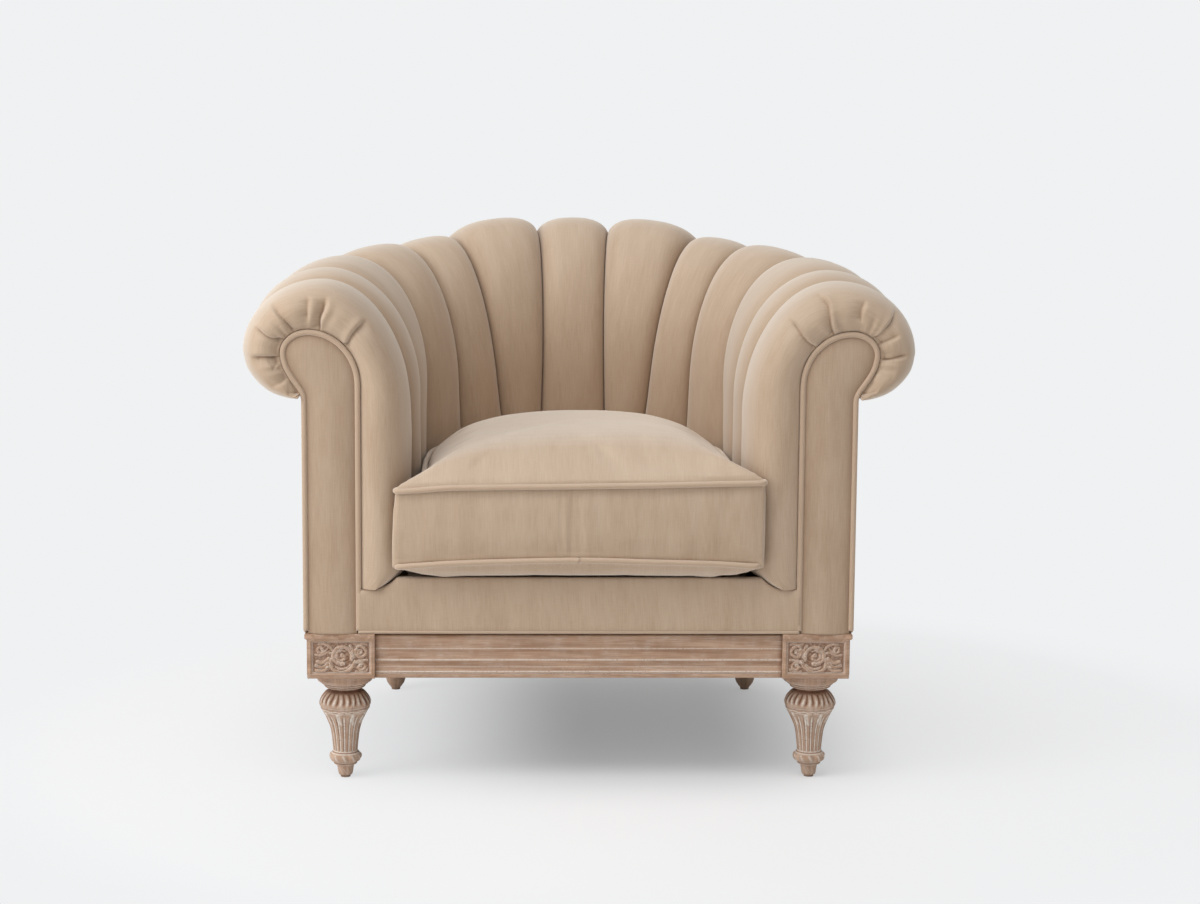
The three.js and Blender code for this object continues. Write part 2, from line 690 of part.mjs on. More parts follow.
function manifoldOf(geometry) {
  const bare = geometry.clone();
  bare.deleteAttribute("normal");
  bare.deleteAttribute("uv");
  const merged = mergeVertices(bare);
  return new wasm.Manifold(new wasm.Mesh({ numProp: 3, vertProperties: merged.attributes.position.array,
    triVerts: new Uint32Array(merged.index.array) }));
}

function geometryOf(solid) {
  const mesh = solid.getMesh();
  const geometry = new THREE.BufferGeometry();
  geometry.setAttribute("position", new THREE.BufferAttribute(mesh.vertProperties, 3));
  geometry.setIndex(new THREE.BufferAttribute(mesh.triVerts, 1));
  geometry.computeVertexNormals();
  return geometry;
}

// Hole for the hanger bolt of a leg
function boltHole(x, y, bottom, top) {
  const geometry = new THREE.CylinderGeometry(BOLT_RADIUS + GAP, BOLT_RADIUS + GAP, top - bottom, BOLT_SIDES);
  return manifoldOf(geometry.rotateX(Math.PI / 2).translate(x, y, (bottom + top) / 2));
}

function frontBlockGeometry() {
  const inner = BASE_HALF_WIDTH - BLOCK_WIDTH;
  const lipBottom = BASE_TOP - BLOCK_LIP_HEIGHT;
  const body = manifoldOf(board(inner, BASE_HALF_WIDTH, 0, BLOCK_DEPTH, BASE_BOTTOM, BASE_TOP));
  const lip = manifoldOf(board(inner, BASE_HALF_WIDTH + BLOCK_LIP, -BLOCK_LIP, BLOCK_DEPTH, lipBottom, BASE_TOP));
  const middle = (inner + BASE_HALF_WIDTH) / 2;
  const low = (BASE_BOTTOM + lipBottom - BLOCK_PANEL_HEIGHT) / 2;
  const panel = manifoldOf(board(middle - BLOCK_PANEL_WIDTH / 2, middle + BLOCK_PANEL_WIDTH / 2,
    -CUT_OVERRUN, BLOCK_PANEL_DEPTH, low, low + BLOCK_PANEL_HEIGHT));
  const hole = boltHole(FRONT_LEG_X, FRONT_LEG_Y, BASE_BOTTOM - CUT_OVERRUN, BASE_BOTTOM + BOLT_INTO_BLOCK + GAP);
  return geometryOf(body.add(lip).subtract(panel).subtract(hole));
}

function backBlockGeometry() {
  const body = manifoldOf(board(BACK_LEG_X - BACK_BLOCK_HALF, BACK_LEG_X + BACK_BLOCK_HALF,
    BACK_LEG_Y - BACK_BLOCK_HALF, BACK_LEG_Y + BACK_BLOCK_HALF, BASE_BOTTOM, BASE_TOP));
  const hole = boltHole(BACK_LEG_X, BACK_LEG_Y, BASE_BOTTOM - CUT_OVERRUN, BASE_BOTTOM + BOLT_INTO_BLOCK + GAP);
  return geometryOf(body.subtract(hole));
}

// Turned leg from (radius, height) pairs, bored at the top for its bolt
function turnedLeg(profile) {
  const top = BASE_BOTTOM - GAP;
  const points = [[0, GLIDE_HEIGHT + GAP], ...profile, [BOLT_RADIUS + GAP, top],
    [BOLT_RADIUS + GAP, top - BOLT_INTO_LEG - GAP], [0, top - BOLT_INTO_LEG - GAP]];
  const outline = points.map(([r, z]) => new THREE.Vector2(r, z));
  return new THREE.LatheGeometry(outline, LATHE_SIDES).rotateX(Math.PI / 2);
}

function frontLegGeometry() {
  const top = BASE_BOTTOM - GAP;
  const bulbLow = (BULB_MIDDLE + SHANK_TOP) / 2;
  const bulbHigh = (BULB_MIDDLE + NECK_BOTTOM) / 2;
  const collarStep = (top + NECK_TOP) / 2;
  return turnedLeg([[TOE_END_RADIUS, GLIDE_HEIGHT + GAP], [TOE_RADIUS, TOE_TOP], [SHANK_RADIUS, TOE_TOP],
    [SHANK_RADIUS, ANKLE_BOTTOM], [ANKLE_RING_RADIUS, ANKLE_BOTTOM], [ANKLE_RING_RADIUS, ANKLE_TOP],
    [SHANK_RADIUS, ANKLE_TOP], [SHANK_TOP_RADIUS, SHANK_TOP], [(BULB_RADIUS + SHANK_TOP_RADIUS) / 2, bulbLow],
    [BULB_RADIUS, BULB_MIDDLE], [(BULB_RADIUS + SHANK_TOP_RADIUS) / 2, bulbHigh], [SHANK_TOP_RADIUS, NECK_BOTTOM],
    [SHANK_TOP_RADIUS, NECK_TOP], [(COLLAR_RADIUS + SHANK_TOP_RADIUS) / 2, collarStep], [COLLAR_RADIUS, top]]);
}

function backLegGeometry() {
  return turnedLeg([[BACK_LEG_END_RADIUS, GLIDE_HEIGHT + GAP], [BACK_LEG_ANKLE_RADIUS, BACK_LEG_ANKLE],
    [BACK_LEG_MIDDLE_RADIUS, BACK_LEG_MIDDLE], [BACK_LEG_TOP_RADIUS, BASE_BOTTOM - GAP]]);
}

function uprightCylinder(radius, bottom, top, sides) {
  return new THREE.CylinderGeometry(radius, radius, top - bottom, sides).rotateX(Math.PI / 2)
    .translate(0, 0, (bottom + top) / 2);
}

// Serpentine wire from the front seat rail to the back one
function springGeometry(x) {
  const front = FRONT_RAIL_Y + SPRING_OVERLAP;
  const back = BACK_RAIL_Y + SPRING_OVERLAP;
  const z = SEAT_RAIL_TOP + GAP + SPRING_WIRE_RADIUS;
  const steps = SPRING_WAVES * SPRING_STEPS_PER_WAVE;
  const points = [];
  for (let i = 0; i <= steps; i += 1) {
    const wave = SPRING_AMPLITUDE * Math.sin((2 * Math.PI * i) / SPRING_STEPS_PER_WAVE);
    points.push(new THREE.Vector3(x + wave, front + ((back - front) * i) / steps, z));
  }
  const shape = circleShape(SPRING_WIRE_RADIUS, PIPING_SIDES - 1);
  return new THREE.ExtrudeGeometry(shape, { extrudePath: new THREE.CatmullRomCurve3(points), steps,
    bevelEnabled: false });
}

// Plate from a plan outline, lying between two heights
function plate(outline, bottom, top) {
  const geometry = new THREE.ExtrudeGeometry(outlineShape(outline), { depth: top - bottom, bevelEnabled: false });
  return geometry.translate(0, 0, bottom);
}

function deckGeometry() {
  const outline = [];
  for (let u = 0; u <= SEAMS - 1; u += 1 / 2) {
    const p = place(station(u), DECK_OUT, 0);
    outline.push(new THREE.Vector2(p.x, Math.max(p.y, DECK_FRONT)));
  }
  const top = CHANNEL_BOTTOM - GAP;
  return plate(outline, top - DECK_THICKNESS, top);
}

function borderGeometry() {
  const half = SEAT_HALF_WIDTH + CORE_FACE_OUT - PADDING_CLEAR;
  const bottom = BASE_TOP + GAP;
  const top = CHANNEL_BOTTOM - GAP;
  const section = [[BORDER_BACK, bottom], [BORDER_EDGE_ROUND, bottom], [0, bottom + BORDER_EDGE_ROUND],
    [-BORDER_BULGE, (bottom + top) / 2], [0, top - BORDER_EDGE_ROUND], [BORDER_EDGE_ROUND, top], [BORDER_BACK, top]];
  const shape = new THREE.Shape(section.map(([y, z]) => new THREE.Vector2(y, z)));
  const geometry = new THREE.ExtrudeGeometry(shape, { depth: 2 * half, bevelEnabled: false });
  return geometry.rotateY(Math.PI / 2).rotateX(Math.PI / 2).translate(-half, 0, 0);
}

function bottomClothGeometry() {
  const narrow = BASE_HALF_WIDTH - BLOCK_WIDTH - BOTTOM_CLOTH_MARGIN;
  const wide = SIDE_RAIL_INNER + SEAT_RAIL_THICKNESS - BOTTOM_CLOTH_MARGIN;
  const front = RAIL_SETBACK + RAIL_THICKNESS + BOTTOM_CLOTH_MARGIN;
  const step = BLOCK_DEPTH + BOTTOM_CLOTH_MARGIN;
  const back = BACK_LEG_Y - BACK_BLOCK_HALF - BOTTOM_CLOTH_MARGIN;
  const right = [[narrow, front], [narrow, step], [wide, step], [wide, back]];
  const left = right.map(([x, y]) => [-x, y]).reverse();
  const outline = [...right, ...left].map(([x, y]) => new THREE.Vector2(x, y));
  return plate(outline, BASE_TOP - BOTTOM_CLOTH_THICKNESS, BASE_TOP);
}

// Half outline of the cushion in plan, from the middle of the front to the middle of the back
function cushionHalf() {
  const half = [];
  const corner = CUSHION_EAR_HALF_WIDTH - CUSHION_CORNER;
  const front = -CUSHION_FRONT;
  half.push([corner / 2, front + CUSHION_FRONT_BOW / 4], [corner, front + CUSHION_FRONT_BOW]);
  half.push([CUSHION_EAR_HALF_WIDTH, front + CUSHION_FRONT_BOW + CUSHION_CORNER]);
  half.push([CUSHION_EAR_HALF_WIDTH, -CUSHION_EAR_BACK]);
  const { full, inner } = puffSection();
  const curve = puffCurve();
  for (let i = 1; i <= CUSHION_EAR_STEPS; i += 1) {
    const start = (inner[1].x + SEAT_HALF_WIDTH - CUSHION_EAR_HALF_WIDTH) / (inner[1].x - full[1].x);
    const q = start + (1 - start) * (i / CUSHION_EAR_STEPS);
    const plan = curve.getPoint(q);
    const slope = curve.getTangent(q);
    const x = SEAT_HALF_WIDTH + inner[1].x + (full[1].x - inner[1].x) * plan.x;
    const across = (full[1].x - inner[1].x) * slope.x;
    const length = Math.hypot(across, slope.y);
    half.push([x - (CUSHION_CLEARANCE * slope.y) / length, plan.y + (CUSHION_CLEARANCE * across) / length]);
  }
  const inward = -(CHANNEL_FULLNESS + CUSHION_CLEARANCE);
  const count = Math.round((CENTRE_CHANNEL - 1 / 2) * CUSHION_STEPS_PER_SEAM);
  for (let i = 0; i <= count; i += 1) {
    const p = place(station(1 + ((CENTRE_CHANNEL - 1 / 2) * i) / count), inward, 0);
    half.push([Math.max(0, p.x), p.y]);
  }
  return half;
}

function cushionOutline() {
  const half = cushionHalf();
  const right = half.slice(0, -1);
  const back = half[half.length - 1];
  const left = right.map(([x, y]) => [-x, y]).reverse();
  const outline = [[0, -CUSHION_FRONT], ...right, [0, back[1]], ...left];
  return outline.map(([x, y]) => new THREE.Vector2(x, y));
}

// Outline moved inward along its own normals
function insetOutline(outline, distance) {
  return outline.map((p, i) => {
    const before = outline[(i + outline.length - 1) % outline.length];
    const after = outline[(i + 1) % outline.length];
    const along = after.clone().sub(before).normalize();
    return p.clone().add(new THREE.Vector2(-along.y, along.x).multiplyScalar(distance));
  });
}

function shrunkOutline(outline, share) {
  const box = new THREE.Box2().setFromPoints(outline);
  const centre = box.getCenter(new THREE.Vector2());
  return outline.map((p) => p.clone().sub(centre).multiplyScalar(share).add(centre));
}

function level(outline, z) {
  return outline.map((p) => new THREE.Vector3(p.x, p.y, z));
}

function cushionGeometry() {
  const outline = cushionOutline();
  const rebate = insetOutline(outline, 2 * PIPING_RADIUS + GAP);
  const drawn = insetOutline(outline, CUSHION_SIDE_DRAW);
  const clear = PIPING_RADIUS + GAP;
  const belly = CUSHION_LOW_WELT - CHANNEL_BOTTOM - CUSHION_BELLY;
  const rings = [];
  bellyRingShares.forEach((share, i) => {
    rings.push(level(shrunkOutline(rebate, share), CUSHION_LOW_WELT - CUSHION_BELLY - belly * bellyHeightShares[i]));
  });
  rings.push(level(rebate, CUSHION_LOW_WELT - CUSHION_BELLY), level(rebate, CUSHION_LOW_WELT + clear));
  rings.push(level(outline, CUSHION_LOW_WELT + clear));
  rings.push(level(drawn, (CUSHION_LOW_WELT + CUSHION_TOP_WELT) / 2));
  rings.push(level(outline, CUSHION_TOP_WELT - clear), level(rebate, CUSHION_TOP_WELT - clear));
  rings.push(level(rebate, CUSHION_TOP_WELT + CUSHION_BELLY));
  crownRingShares.forEach((share, i) => {
    const z = CUSHION_TOP_WELT + CUSHION_BELLY + (CUSHION_CROWN - CUSHION_BELLY) * crownHeightShares[i];
    rings.push(level(shrunkOutline(rebate, share), z));
  });
  return loft(rings, { fan: true });
}

// Piping that goes all round the cushion at one height
function cushionPipingGeometry(z) {
  const line = insetOutline(cushionOutline(), PIPING_RADIUS);
  const inner = insetOutline(cushionOutline(), 2 * PIPING_RADIUS);
  const rings = line.map((p, i) => {
    const across = inner[i].clone().sub(p);
    const points = [];
    for (let k = 0; k < PIPING_SIDES; k += 1) {
      const angle = (2 * Math.PI * k) / PIPING_SIDES;
      const side = Math.cos(angle);
      points.push(new THREE.Vector3(p.x + across.x * side, p.y + across.y * side,
        z + PIPING_RADIUS * Math.sin(angle)));
    }
    return points;
  });
  return loft(rings, { joined: true });
}

const backTopRailUnderside = station(TOP_RAIL_JOINT).height - TOP_RAIL_DROP;

// Everything that the right half holds once and the left half mirrors
function buildSide(group, side) {
  for (let channel = 0; channel < CENTRE_CHANNEL; channel += 1) {
    const geometry = channel === 0 ? frontPuffGeometry() : channelGeometry(channel);
    piece(group, `channel_${side}_${channel + 1}`, geometry, cloth());
  }
  piece(group, `arm_facing_${side}`, facingGeometry(), cloth());
  piece(group, `facing_piping_${side}`, facingPipingGeometry(), cloth(colours.piping));
  piece(group, `outer_arm_cover_${side}`, coverGeometry(0, ARM_COVER_SEAMS - seamGapShare), cloth());
  piece(group, `arm_top_rail_${side}`, topRailGeometry(0, TOP_RAIL_JOINT, 2 * TOP_RAIL_JOINT,
    ARM_CREST_HEIGHT - TOP_RAIL_DROP, FACING_THICKNESS + GAP), timber(colours.pine));
  const postBack = FACING_THICKNESS + GAP + FRONT_POST_DEPTH;
  piece(group, `arm_post_${side}`, board(FRONT_POST_INNER, FRONT_POST_OUTER, FACING_THICKNESS + GAP, postBack,
    FRAME_BOTTOM, ARM_CREST_HEIGHT - TOP_RAIL_DROP - GAP), timber(colours.pine));
  piece(group, `seat_rail_${side}`, board(SIDE_RAIL_INNER, SIDE_RAIL_INNER + SEAT_RAIL_THICKNESS,
    postBack + GAP, BACK_RAIL_Y - GAP, FRAME_BOTTOM, SEAT_RAIL_TOP), timber(colours.pine));
  piece(group, `back_post_${side}`, board(BACK_POST_X - BACK_POST_WIDTH / 2, BACK_POST_X + BACK_POST_WIDTH / 2,
    BACK_RAIL_Y, BACK_RAIL_Y + BACK_POST_DEPTH, SEAT_RAIL_TOP + GAP, backTopRailUnderside - GAP),
  timber(colours.pine));
  piece(group, `side_base_rail_${side}`, curvedRailGeometry(sideRailStartShare,
    ARM_COVER_SEAMS - railSeamShare, SIDE_RAIL_STEPS, BLOCK_DEPTH + GAP), timber());
  piece(group, `front_corner_block_${side}`, frontBlockGeometry(), timber());
  piece(group, `back_corner_block_${side}`, backBlockGeometry(), timber(colours.pine));
  buildLeg(group, `front_leg_${side}`, frontLegGeometry(), FRONT_LEG_X, FRONT_LEG_Y);
  buildLeg(group, `back_leg_${side}`, backLegGeometry(), BACK_LEG_X, BACK_LEG_Y);
}

// A leg with its floor glide and hanger bolt
function buildLeg(group, name, geometry, x, y) {
  const leg = new THREE.Group();
  leg.position.set(x, y, 0);
  const top = BASE_BOTTOM - GAP;
  piece(leg, name, geometry, timber());
  piece(leg, `${name}_glide`, uprightCylinder(GLIDE_RADIUS, 0, GLIDE_HEIGHT, LATHE_SIDES), steel(colours.glide));
  piece(leg, `${name}_bolt`, uprightCylinder(BOLT_RADIUS, top - BOLT_INTO_LEG, BASE_BOTTOM + BOLT_INTO_BLOCK,
    BOLT_SIDES), steel());
  group.add(leg);
}

function buildMiddle(group) {
  piece(group, "channel_centre", channelGeometry(CENTRE_CHANNEL), cloth());
  const backFrom = ARM_COVER_SEAMS + seamGapShare;
  const backTo = SEAMS - 1 - backFrom;
  piece(group, "outer_back_cover", coverGeometry(backFrom, backTo), cloth());
  const railEnd = ARM_COVER_SEAMS + railSeamShare;
  piece(group, "back_base_rail", curvedRailGeometry(railEnd, SEAMS - 1 - railEnd, BACK_RAIL_STEPS), timber());
  piece(group, "front_base_rail", frontRailGeometry(), timber());
  const railFrom = TOP_RAIL_JOINT + railJointGapShare;
  piece(group, "back_top_rail", topRailGeometry(railFrom, SEAMS - 1 - railFrom, TOP_RAIL_STEPS,
    backTopRailUnderside), timber(colours.pine));
  const frontHalf = FRONT_POST_INNER - GAP;
  piece(group, "seat_rail_front", board(-frontHalf, frontHalf, FRONT_RAIL_Y, FRONT_RAIL_Y + SEAT_RAIL_THICKNESS,
    FRAME_BOTTOM, SEAT_RAIL_TOP), timber(colours.pine));
  piece(group, "seat_rail_back", board(-BACK_RAIL_HALF, BACK_RAIL_HALF, BACK_RAIL_Y,
    BACK_RAIL_Y + SEAT_RAIL_THICKNESS, FRAME_BOTTOM, SEAT_RAIL_TOP), timber(colours.pine));
  for (let i = 0; i < SPRING_COUNT; i += 1) {
    const x = SPRING_SPACING * (i - (SPRING_COUNT - 1) / 2);
    piece(group, `seat_spring_${i + 1}`, springGeometry(x), steel());
  }
  piece(group, "deck_pad", deckGeometry(), cloth(colours.pad));
  piece(group, "front_border", borderGeometry(), cloth());
  piece(group, "bottom_cloth", bottomClothGeometry(), cloth(colours.blackCloth));
}

function buildCushion(group) {
  piece(group, "seat_cushion", cushionGeometry(), cloth());
  piece(group, "cushion_piping_top", cushionPipingGeometry(CUSHION_TOP_WELT), cloth(colours.piping));
  piece(group, "cushion_piping_bottom", cushionPipingGeometry(CUSHION_LOW_WELT), cloth(colours.piping));
}

const chair = new THREE.Group();
const right = new THREE.Group();
const left = new THREE.Group();
left.scale.x = -1;
buildSide(right, "right");
buildSide(left, "left");
buildMiddle(chair);
buildCushion(chair);
chair.add(right, left);

// The origin is on the floor under the middle of the chair's box
chair.updateMatrixWorld(true);
const box = new THREE.Box3().setFromObject(chair);
const middle = box.getCenter(new THREE.Vector3());
const armchair = new THREE.Group();
chair.position.set(0, -middle.y, -box.min.z);
armchair.add(chair);

export default armchair;
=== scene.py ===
"""Looks of an upholstered channel-back armchair on a limed oak base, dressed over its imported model."""

import logging
import math
from dataclasses import dataclass, field
from enum import Enum

import bpy
import numpy as np
from mathutils import Matrix, Vector, noise


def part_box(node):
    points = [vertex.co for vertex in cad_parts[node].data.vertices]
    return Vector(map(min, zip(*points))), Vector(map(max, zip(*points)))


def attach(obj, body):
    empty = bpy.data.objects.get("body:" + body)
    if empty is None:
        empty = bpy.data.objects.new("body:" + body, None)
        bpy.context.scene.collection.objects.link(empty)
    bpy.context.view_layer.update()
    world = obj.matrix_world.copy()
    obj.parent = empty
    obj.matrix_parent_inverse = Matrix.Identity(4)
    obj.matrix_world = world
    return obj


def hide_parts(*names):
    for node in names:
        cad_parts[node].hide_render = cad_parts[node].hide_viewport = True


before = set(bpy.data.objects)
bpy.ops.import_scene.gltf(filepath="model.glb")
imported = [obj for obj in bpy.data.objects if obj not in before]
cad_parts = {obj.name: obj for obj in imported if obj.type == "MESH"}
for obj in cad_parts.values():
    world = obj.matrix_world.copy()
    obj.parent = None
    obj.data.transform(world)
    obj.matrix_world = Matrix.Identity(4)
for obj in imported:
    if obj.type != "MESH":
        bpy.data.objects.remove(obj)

Array = np.ndarray
log = logging.getLogger("armchair")

Socket = bpy.types.NodeSocket
Sockets = bpy.types.bpy_prop_collection
Colour = tuple[float, float, float, float]
Coat = tuple[dict[str, object], Socket, float, float]

# Sizes that several pieces share, in metres

GAP = 0.0003
PIPING_RADIUS = 0.0045
PADDING_CLEAR = 0.0054
CORE_NECK = 0.0017
BLOCK_WIDTH = 0.1085
BLOCK_DEPTH = 0.108
FAR = 9.0
NEAREST_BATCH = 40
CHANNELS = 13
SURFACE = (("Color", "Color"), ("Roughness", "Float"), ("Height", "Float"))


class Side(Enum):
    """Half of the chair, with the sign of its X."""

    RIGHT = 1
    LEFT = -1

    @property
    def word(self) -> str:
        """The half's name in lower case."""
        return self.name.lower()


class Slot(Enum):
    """Slots of the finishes that new pieces take."""

    VELVET = "velvet"
    PIPING = "velvet_piping"
    DECK = "deck_cloth"
    DUST = "bottom_cloth"
    OAK = "limed_oak"


# Numbers along a line


def ease(low: float, high: float, value: Array) -> Array:
    """Smooth step from 0 at low to 1 at high."""
    share = np.clip((np.asarray(value, dtype=float) - low) / (high - low), 0.0, 1.0)
    return share * share * (3.0 - 2.0 * share)


def band(low: float, full: float, falling: float, high: float, value: Array) -> Array:
    """Smooth step up from low to full, and down again from falling to high."""
    return ease(low, full, value) * (1 - ease(falling, high, value))


def bell(value: Array, width: float) -> Array:
    """Bell curve that is 1 at zero."""
    return np.exp(-((value / width) ** 2))


def nearest(places: Array, line: Array, far: float) -> Array:
    """Distance from each place to the nearest point of a line.

    Args:
        places: Places (n, 2).
        line: Points (m, 2).
        far: Most that is measured.

    Returns:
        Distances (n).
    """
    best = np.full(len(places), far)
    for start in range(0, len(line), NEAREST_BATCH):
        part = line[start : start + NEAREST_BATCH]
        best = np.minimum(best, np.linalg.norm(places[:, None] - part[None], axis=2).min(axis=1))
    return best


def spline(at: Array, places: Array, values: Array) -> Array:
    """Interpolate with a cubic that passes through each value.

    Args:
        at: Positions wanted.
        places: Rising positions of the known values.
        values: Known values.

    Returns:
        The values at the wanted positions.
    """
    places = np.asarray(places, dtype=float)
    values = np.asarray(values, dtype=float)
    slopes = np.gradient(values, places)
    i = np.clip(np.searchsorted(places, at, side="right") - 1, 0, len(places) - 2)
    step = places[i + 1] - places[i]
    t = np.clip((at - places[i]) / step, 0.0, 1.0)
    t2, t3 = t * t, t * t * t
    return (
        (2 * t3 - 3 * t2 + 1) * values[i]
        + (t3 - 2 * t2 + t) * slopes[i] * step
        + (3 * t2 - 2 * t3) * values[i + 1]
        + (t3 - t2) * slopes[i + 1] * step
    )


def resample(points: Array, spacing: float, closed: bool = False) -> Array:
    """Space points evenly along a polyline.

    Args:
        points: The polyline, one point in each row.
        spacing: Rough distance between new points.
        closed: Whether the last point joins the first.

    Returns:
        The new points.
    """
    line = np.vstack([points, points[:1]]) if closed else np.asarray(points, dtype=float)
    steps = np.linalg.norm(np.diff(line, axis=0), axis=1)
    along = np.concatenate([[0.0], np.cumsum(steps)])
    count = max(2, int(round(along[-1] / spacing)))
    wanted = np.linspace(0.0, along[-1], count + 1)
    if closed:
        wanted = wanted[:-1]
    return np.stack([np.interp(wanted, along, line[:, k]) for k in range(line.shape[1])], axis=1)


def soften(points: Array, passes: int, closed: bool = False) -> Array:
    """Average each point with its neighbours a few times.

    Args:
        points: The polyline.
        passes: How many times to average.
        closed: Whether the last point joins the first.

    Returns:
        The smoother polyline.
    """
    line = np.asarray(points, dtype=float).copy()
    for _ in range(passes):
        before = np.roll(line, 1, axis=0)
        after = np.roll(line, -1, axis=0)
        mean = (before + 2 * line + after) / 4
        if not closed:
            mean[0], mean[-1] = line[0], line[-1]
        line = mean
    return line


def outward_normals(outline: Array) -> Array:
    """Normals of a closed flat outline, away from its middle.

    Args:
        outline: Points (n, 2) in order.

    Returns:
        Unit normals (n, 2).
    """
    along = np.roll(outline, -1, axis=0) - np.roll(outline, 1, axis=0)
    normals = np.stack([along[:, 1], -along[:, 0]], axis=1)
    normals /= np.linalg.norm(normals, axis=1, keepdims=True)
    x, y = outline[:, 0], outline[:, 1]
    area = float(np.sum(x * np.roll(y, -1) - np.roll(x, -1) * y))
    return normals if area > 0 else -normals


def cover_normals(cover: Array, middle: Array) -> Array:
    """Outward normals of a grid of cover points.

    Args:
        cover: Points (rings, places, 3).
        middle: A point behind the cover.

    Returns:
        Unit normals.
    """
    normals = np.cross(np.gradient(cover, axis=0), np.gradient(cover, axis=1))
    normals /= np.maximum(np.linalg.norm(normals, axis=2, keepdims=True), 1e-12)
    return normals if float(np.sum(normals * (cover - middle))) > 0 else -normals


def unevenness(points: Array, size: float, seed: float) -> Array:
    """Soft random numbers that vary in space.

    Args:
        points: Places (n, 3).
        size: Distance over which the numbers vary.
        seed: Shift that gives other numbers.

    Returns:
        One number from about -1 to 1 for each place.
    """
    place = points.reshape(-1, 3) / size + np.array([7.3, 3.1, 5.7]) * seed
    cell = np.floor(place)
    weight = place - cell
    weight = weight * weight * (3 - 2 * weight)
    total = np.zeros(len(place))
    for corner in np.ndindex(2, 2, 2):
        node = cell + np.array(corner)
        random = np.sin(node @ np.array([127.1, 311.7, 74.7])) * 43758.5453
        share = np.prod(np.where(np.array(corner) == 1, weight, 1 - weight), axis=1)
        total += share * (2 * (random - np.floor(random)) - 1)
    return total


# Meshes


@dataclass
class Draft:
    """Mesh under construction: points, faces, one UV for each face corner and named point values."""

    points: Array
    faces: list[tuple[int, ...]]
    corners: list[tuple[float, float]] = field(default_factory=list)
    values: dict[str, Array] = field(default_factory=dict)

    def turned(self, points: Array) -> "Draft":
        """The same mesh on other points, with its faces the other way round.

        Args:
            points: The other points.

        Returns:
            The turned mesh.
        """
        faces, corners, start = [], [], 0
        for face in self.faces:
            faces.append(tuple(reversed(face)))
            corners.extend(reversed(self.corners[start : start + len(face)]))
            start += len(face)
        return Draft(points, faces, corners, dict(self.values))

    def on(self, side: Side) -> "Draft":
        """The mesh, drawn on the right, on a half of the chair."""
        return self if side is Side.RIGHT else self.turned(self.points * np.array([-1.0, 1.0, 1.0]))

    def facing_out(self) -> "Draft":
        """The same closed mesh with its faces turned outward."""
        total = 0.0
        for size in {len(face) for face in self.faces}:
            loops = np.array([face for face in self.faces if len(face) == size])
            first = self.points[loops[:, 0]]
            for i in range(1, size - 1):
                second, third = self.points[loops[:, i]], self.points[loops[:, i + 1]]
                total += float(np.sum(first * np.cross(second, third)))
        return self if total >= 0 else self.turned(self.points)

    def joined(self, other: "Draft") -> "Draft":
        """One mesh that holds this one and another.

        Args:
            other: The mesh to add.

        Returns:
            The joined mesh.
        """
        shift = len(self.points)
        faces = self.faces + [tuple(i + shift for i in face) for face in other.faces]
        values = {}
        for name in set(self.values) | set(other.values):
            own = self.values.get(name, np.zeros(shift))
            new = other.values.get(name, np.zeros(len(other.points)))
            values[name] = np.concatenate([own, new])
        return Draft(np.vstack([self.points, other.points]), faces, self.corners + other.corners, values)

    def build(self, name: str, material: bpy.types.Material) -> bpy.types.Object:
        """Make the Blender object.

        Args:
            name: Name of the object.
            material: Its finish.

        Returns:
            The new object, smooth shaded.
        """
        mesh = bpy.data.meshes.new(name)
        mesh.from_pydata(self.points.tolist(), [], self.faces)
        if self.corners:
            layer = mesh.uv_layers.new(name="Cloth")
            layer.data.foreach_set("uv", np.asarray(self.corners, dtype=np.float32).ravel())
        for key, numbers in self.values.items():
            store = mesh.attributes.new(key, "FLOAT", "POINT")
            store.data.foreach_set("value", np.asarray(numbers, dtype=np.float32))
        mesh.polygons.foreach_set("use_smooth", [True] * len(mesh.polygons))
        mesh.materials.append(material)
        mesh.update()
        made = bpy.data.objects.new(name, mesh)
        bpy.context.scene.collection.objects.link(made)
        return made


def grid_faces(rings: int, size: int, joined: bool, wrapped: bool) -> tuple[list, list]:
    """Quads of a grid and the grid cells of their corners.

    Args:
        rings: Number of rings.
        size: Points in each ring.
        joined: Whether the last ring joins the first.
        wrapped: Whether each ring is closed.

    Returns:
        Faces as point numbers, and (ring, place) of each corner with no wrapping.
    """
    faces, cells = [], []
    for i in range(rings if joined else rings - 1):
        for j in range(size if wrapped else size - 1):
            square = [(i, j), (i, j + 1), (i + 1, j + 1), (i + 1, j)]
            faces.append(tuple((a % rings) * size + (b % size) for a, b in square))
            cells.extend(square)
    return faces, cells


def loft(rings: Array, across: Array, along: Array, joined: bool = False, capped: bool = True) -> Draft:
    """Closed body through closed rings.

    Args:
        rings: Points (rings, size, 3).
        across: U of each ring and place (rings + 1, size + 1), in metres.
        along: V of each ring and place, in metres.
        joined: Whether the last ring joins the first.
        capped: Whether the end rings are closed.

    Returns:
        The mesh with its faces outward.
    """
    count, size = rings.shape[:2]
    faces, cells = grid_faces(count, size, joined, True)
    corners = [(float(across[i, j]), float(along[i, j])) for i, j in cells]
    if capped and not joined:
        for i, order in ((0, range(size - 1, -1, -1)), (count - 1, range(size))):
            faces.append(tuple(i * size + j for j in order))
            corners.extend((float(across[i, j]), float(along[i, j])) for j in order)
    return Draft(rings.reshape(-1, 3), faces, corners).facing_out()


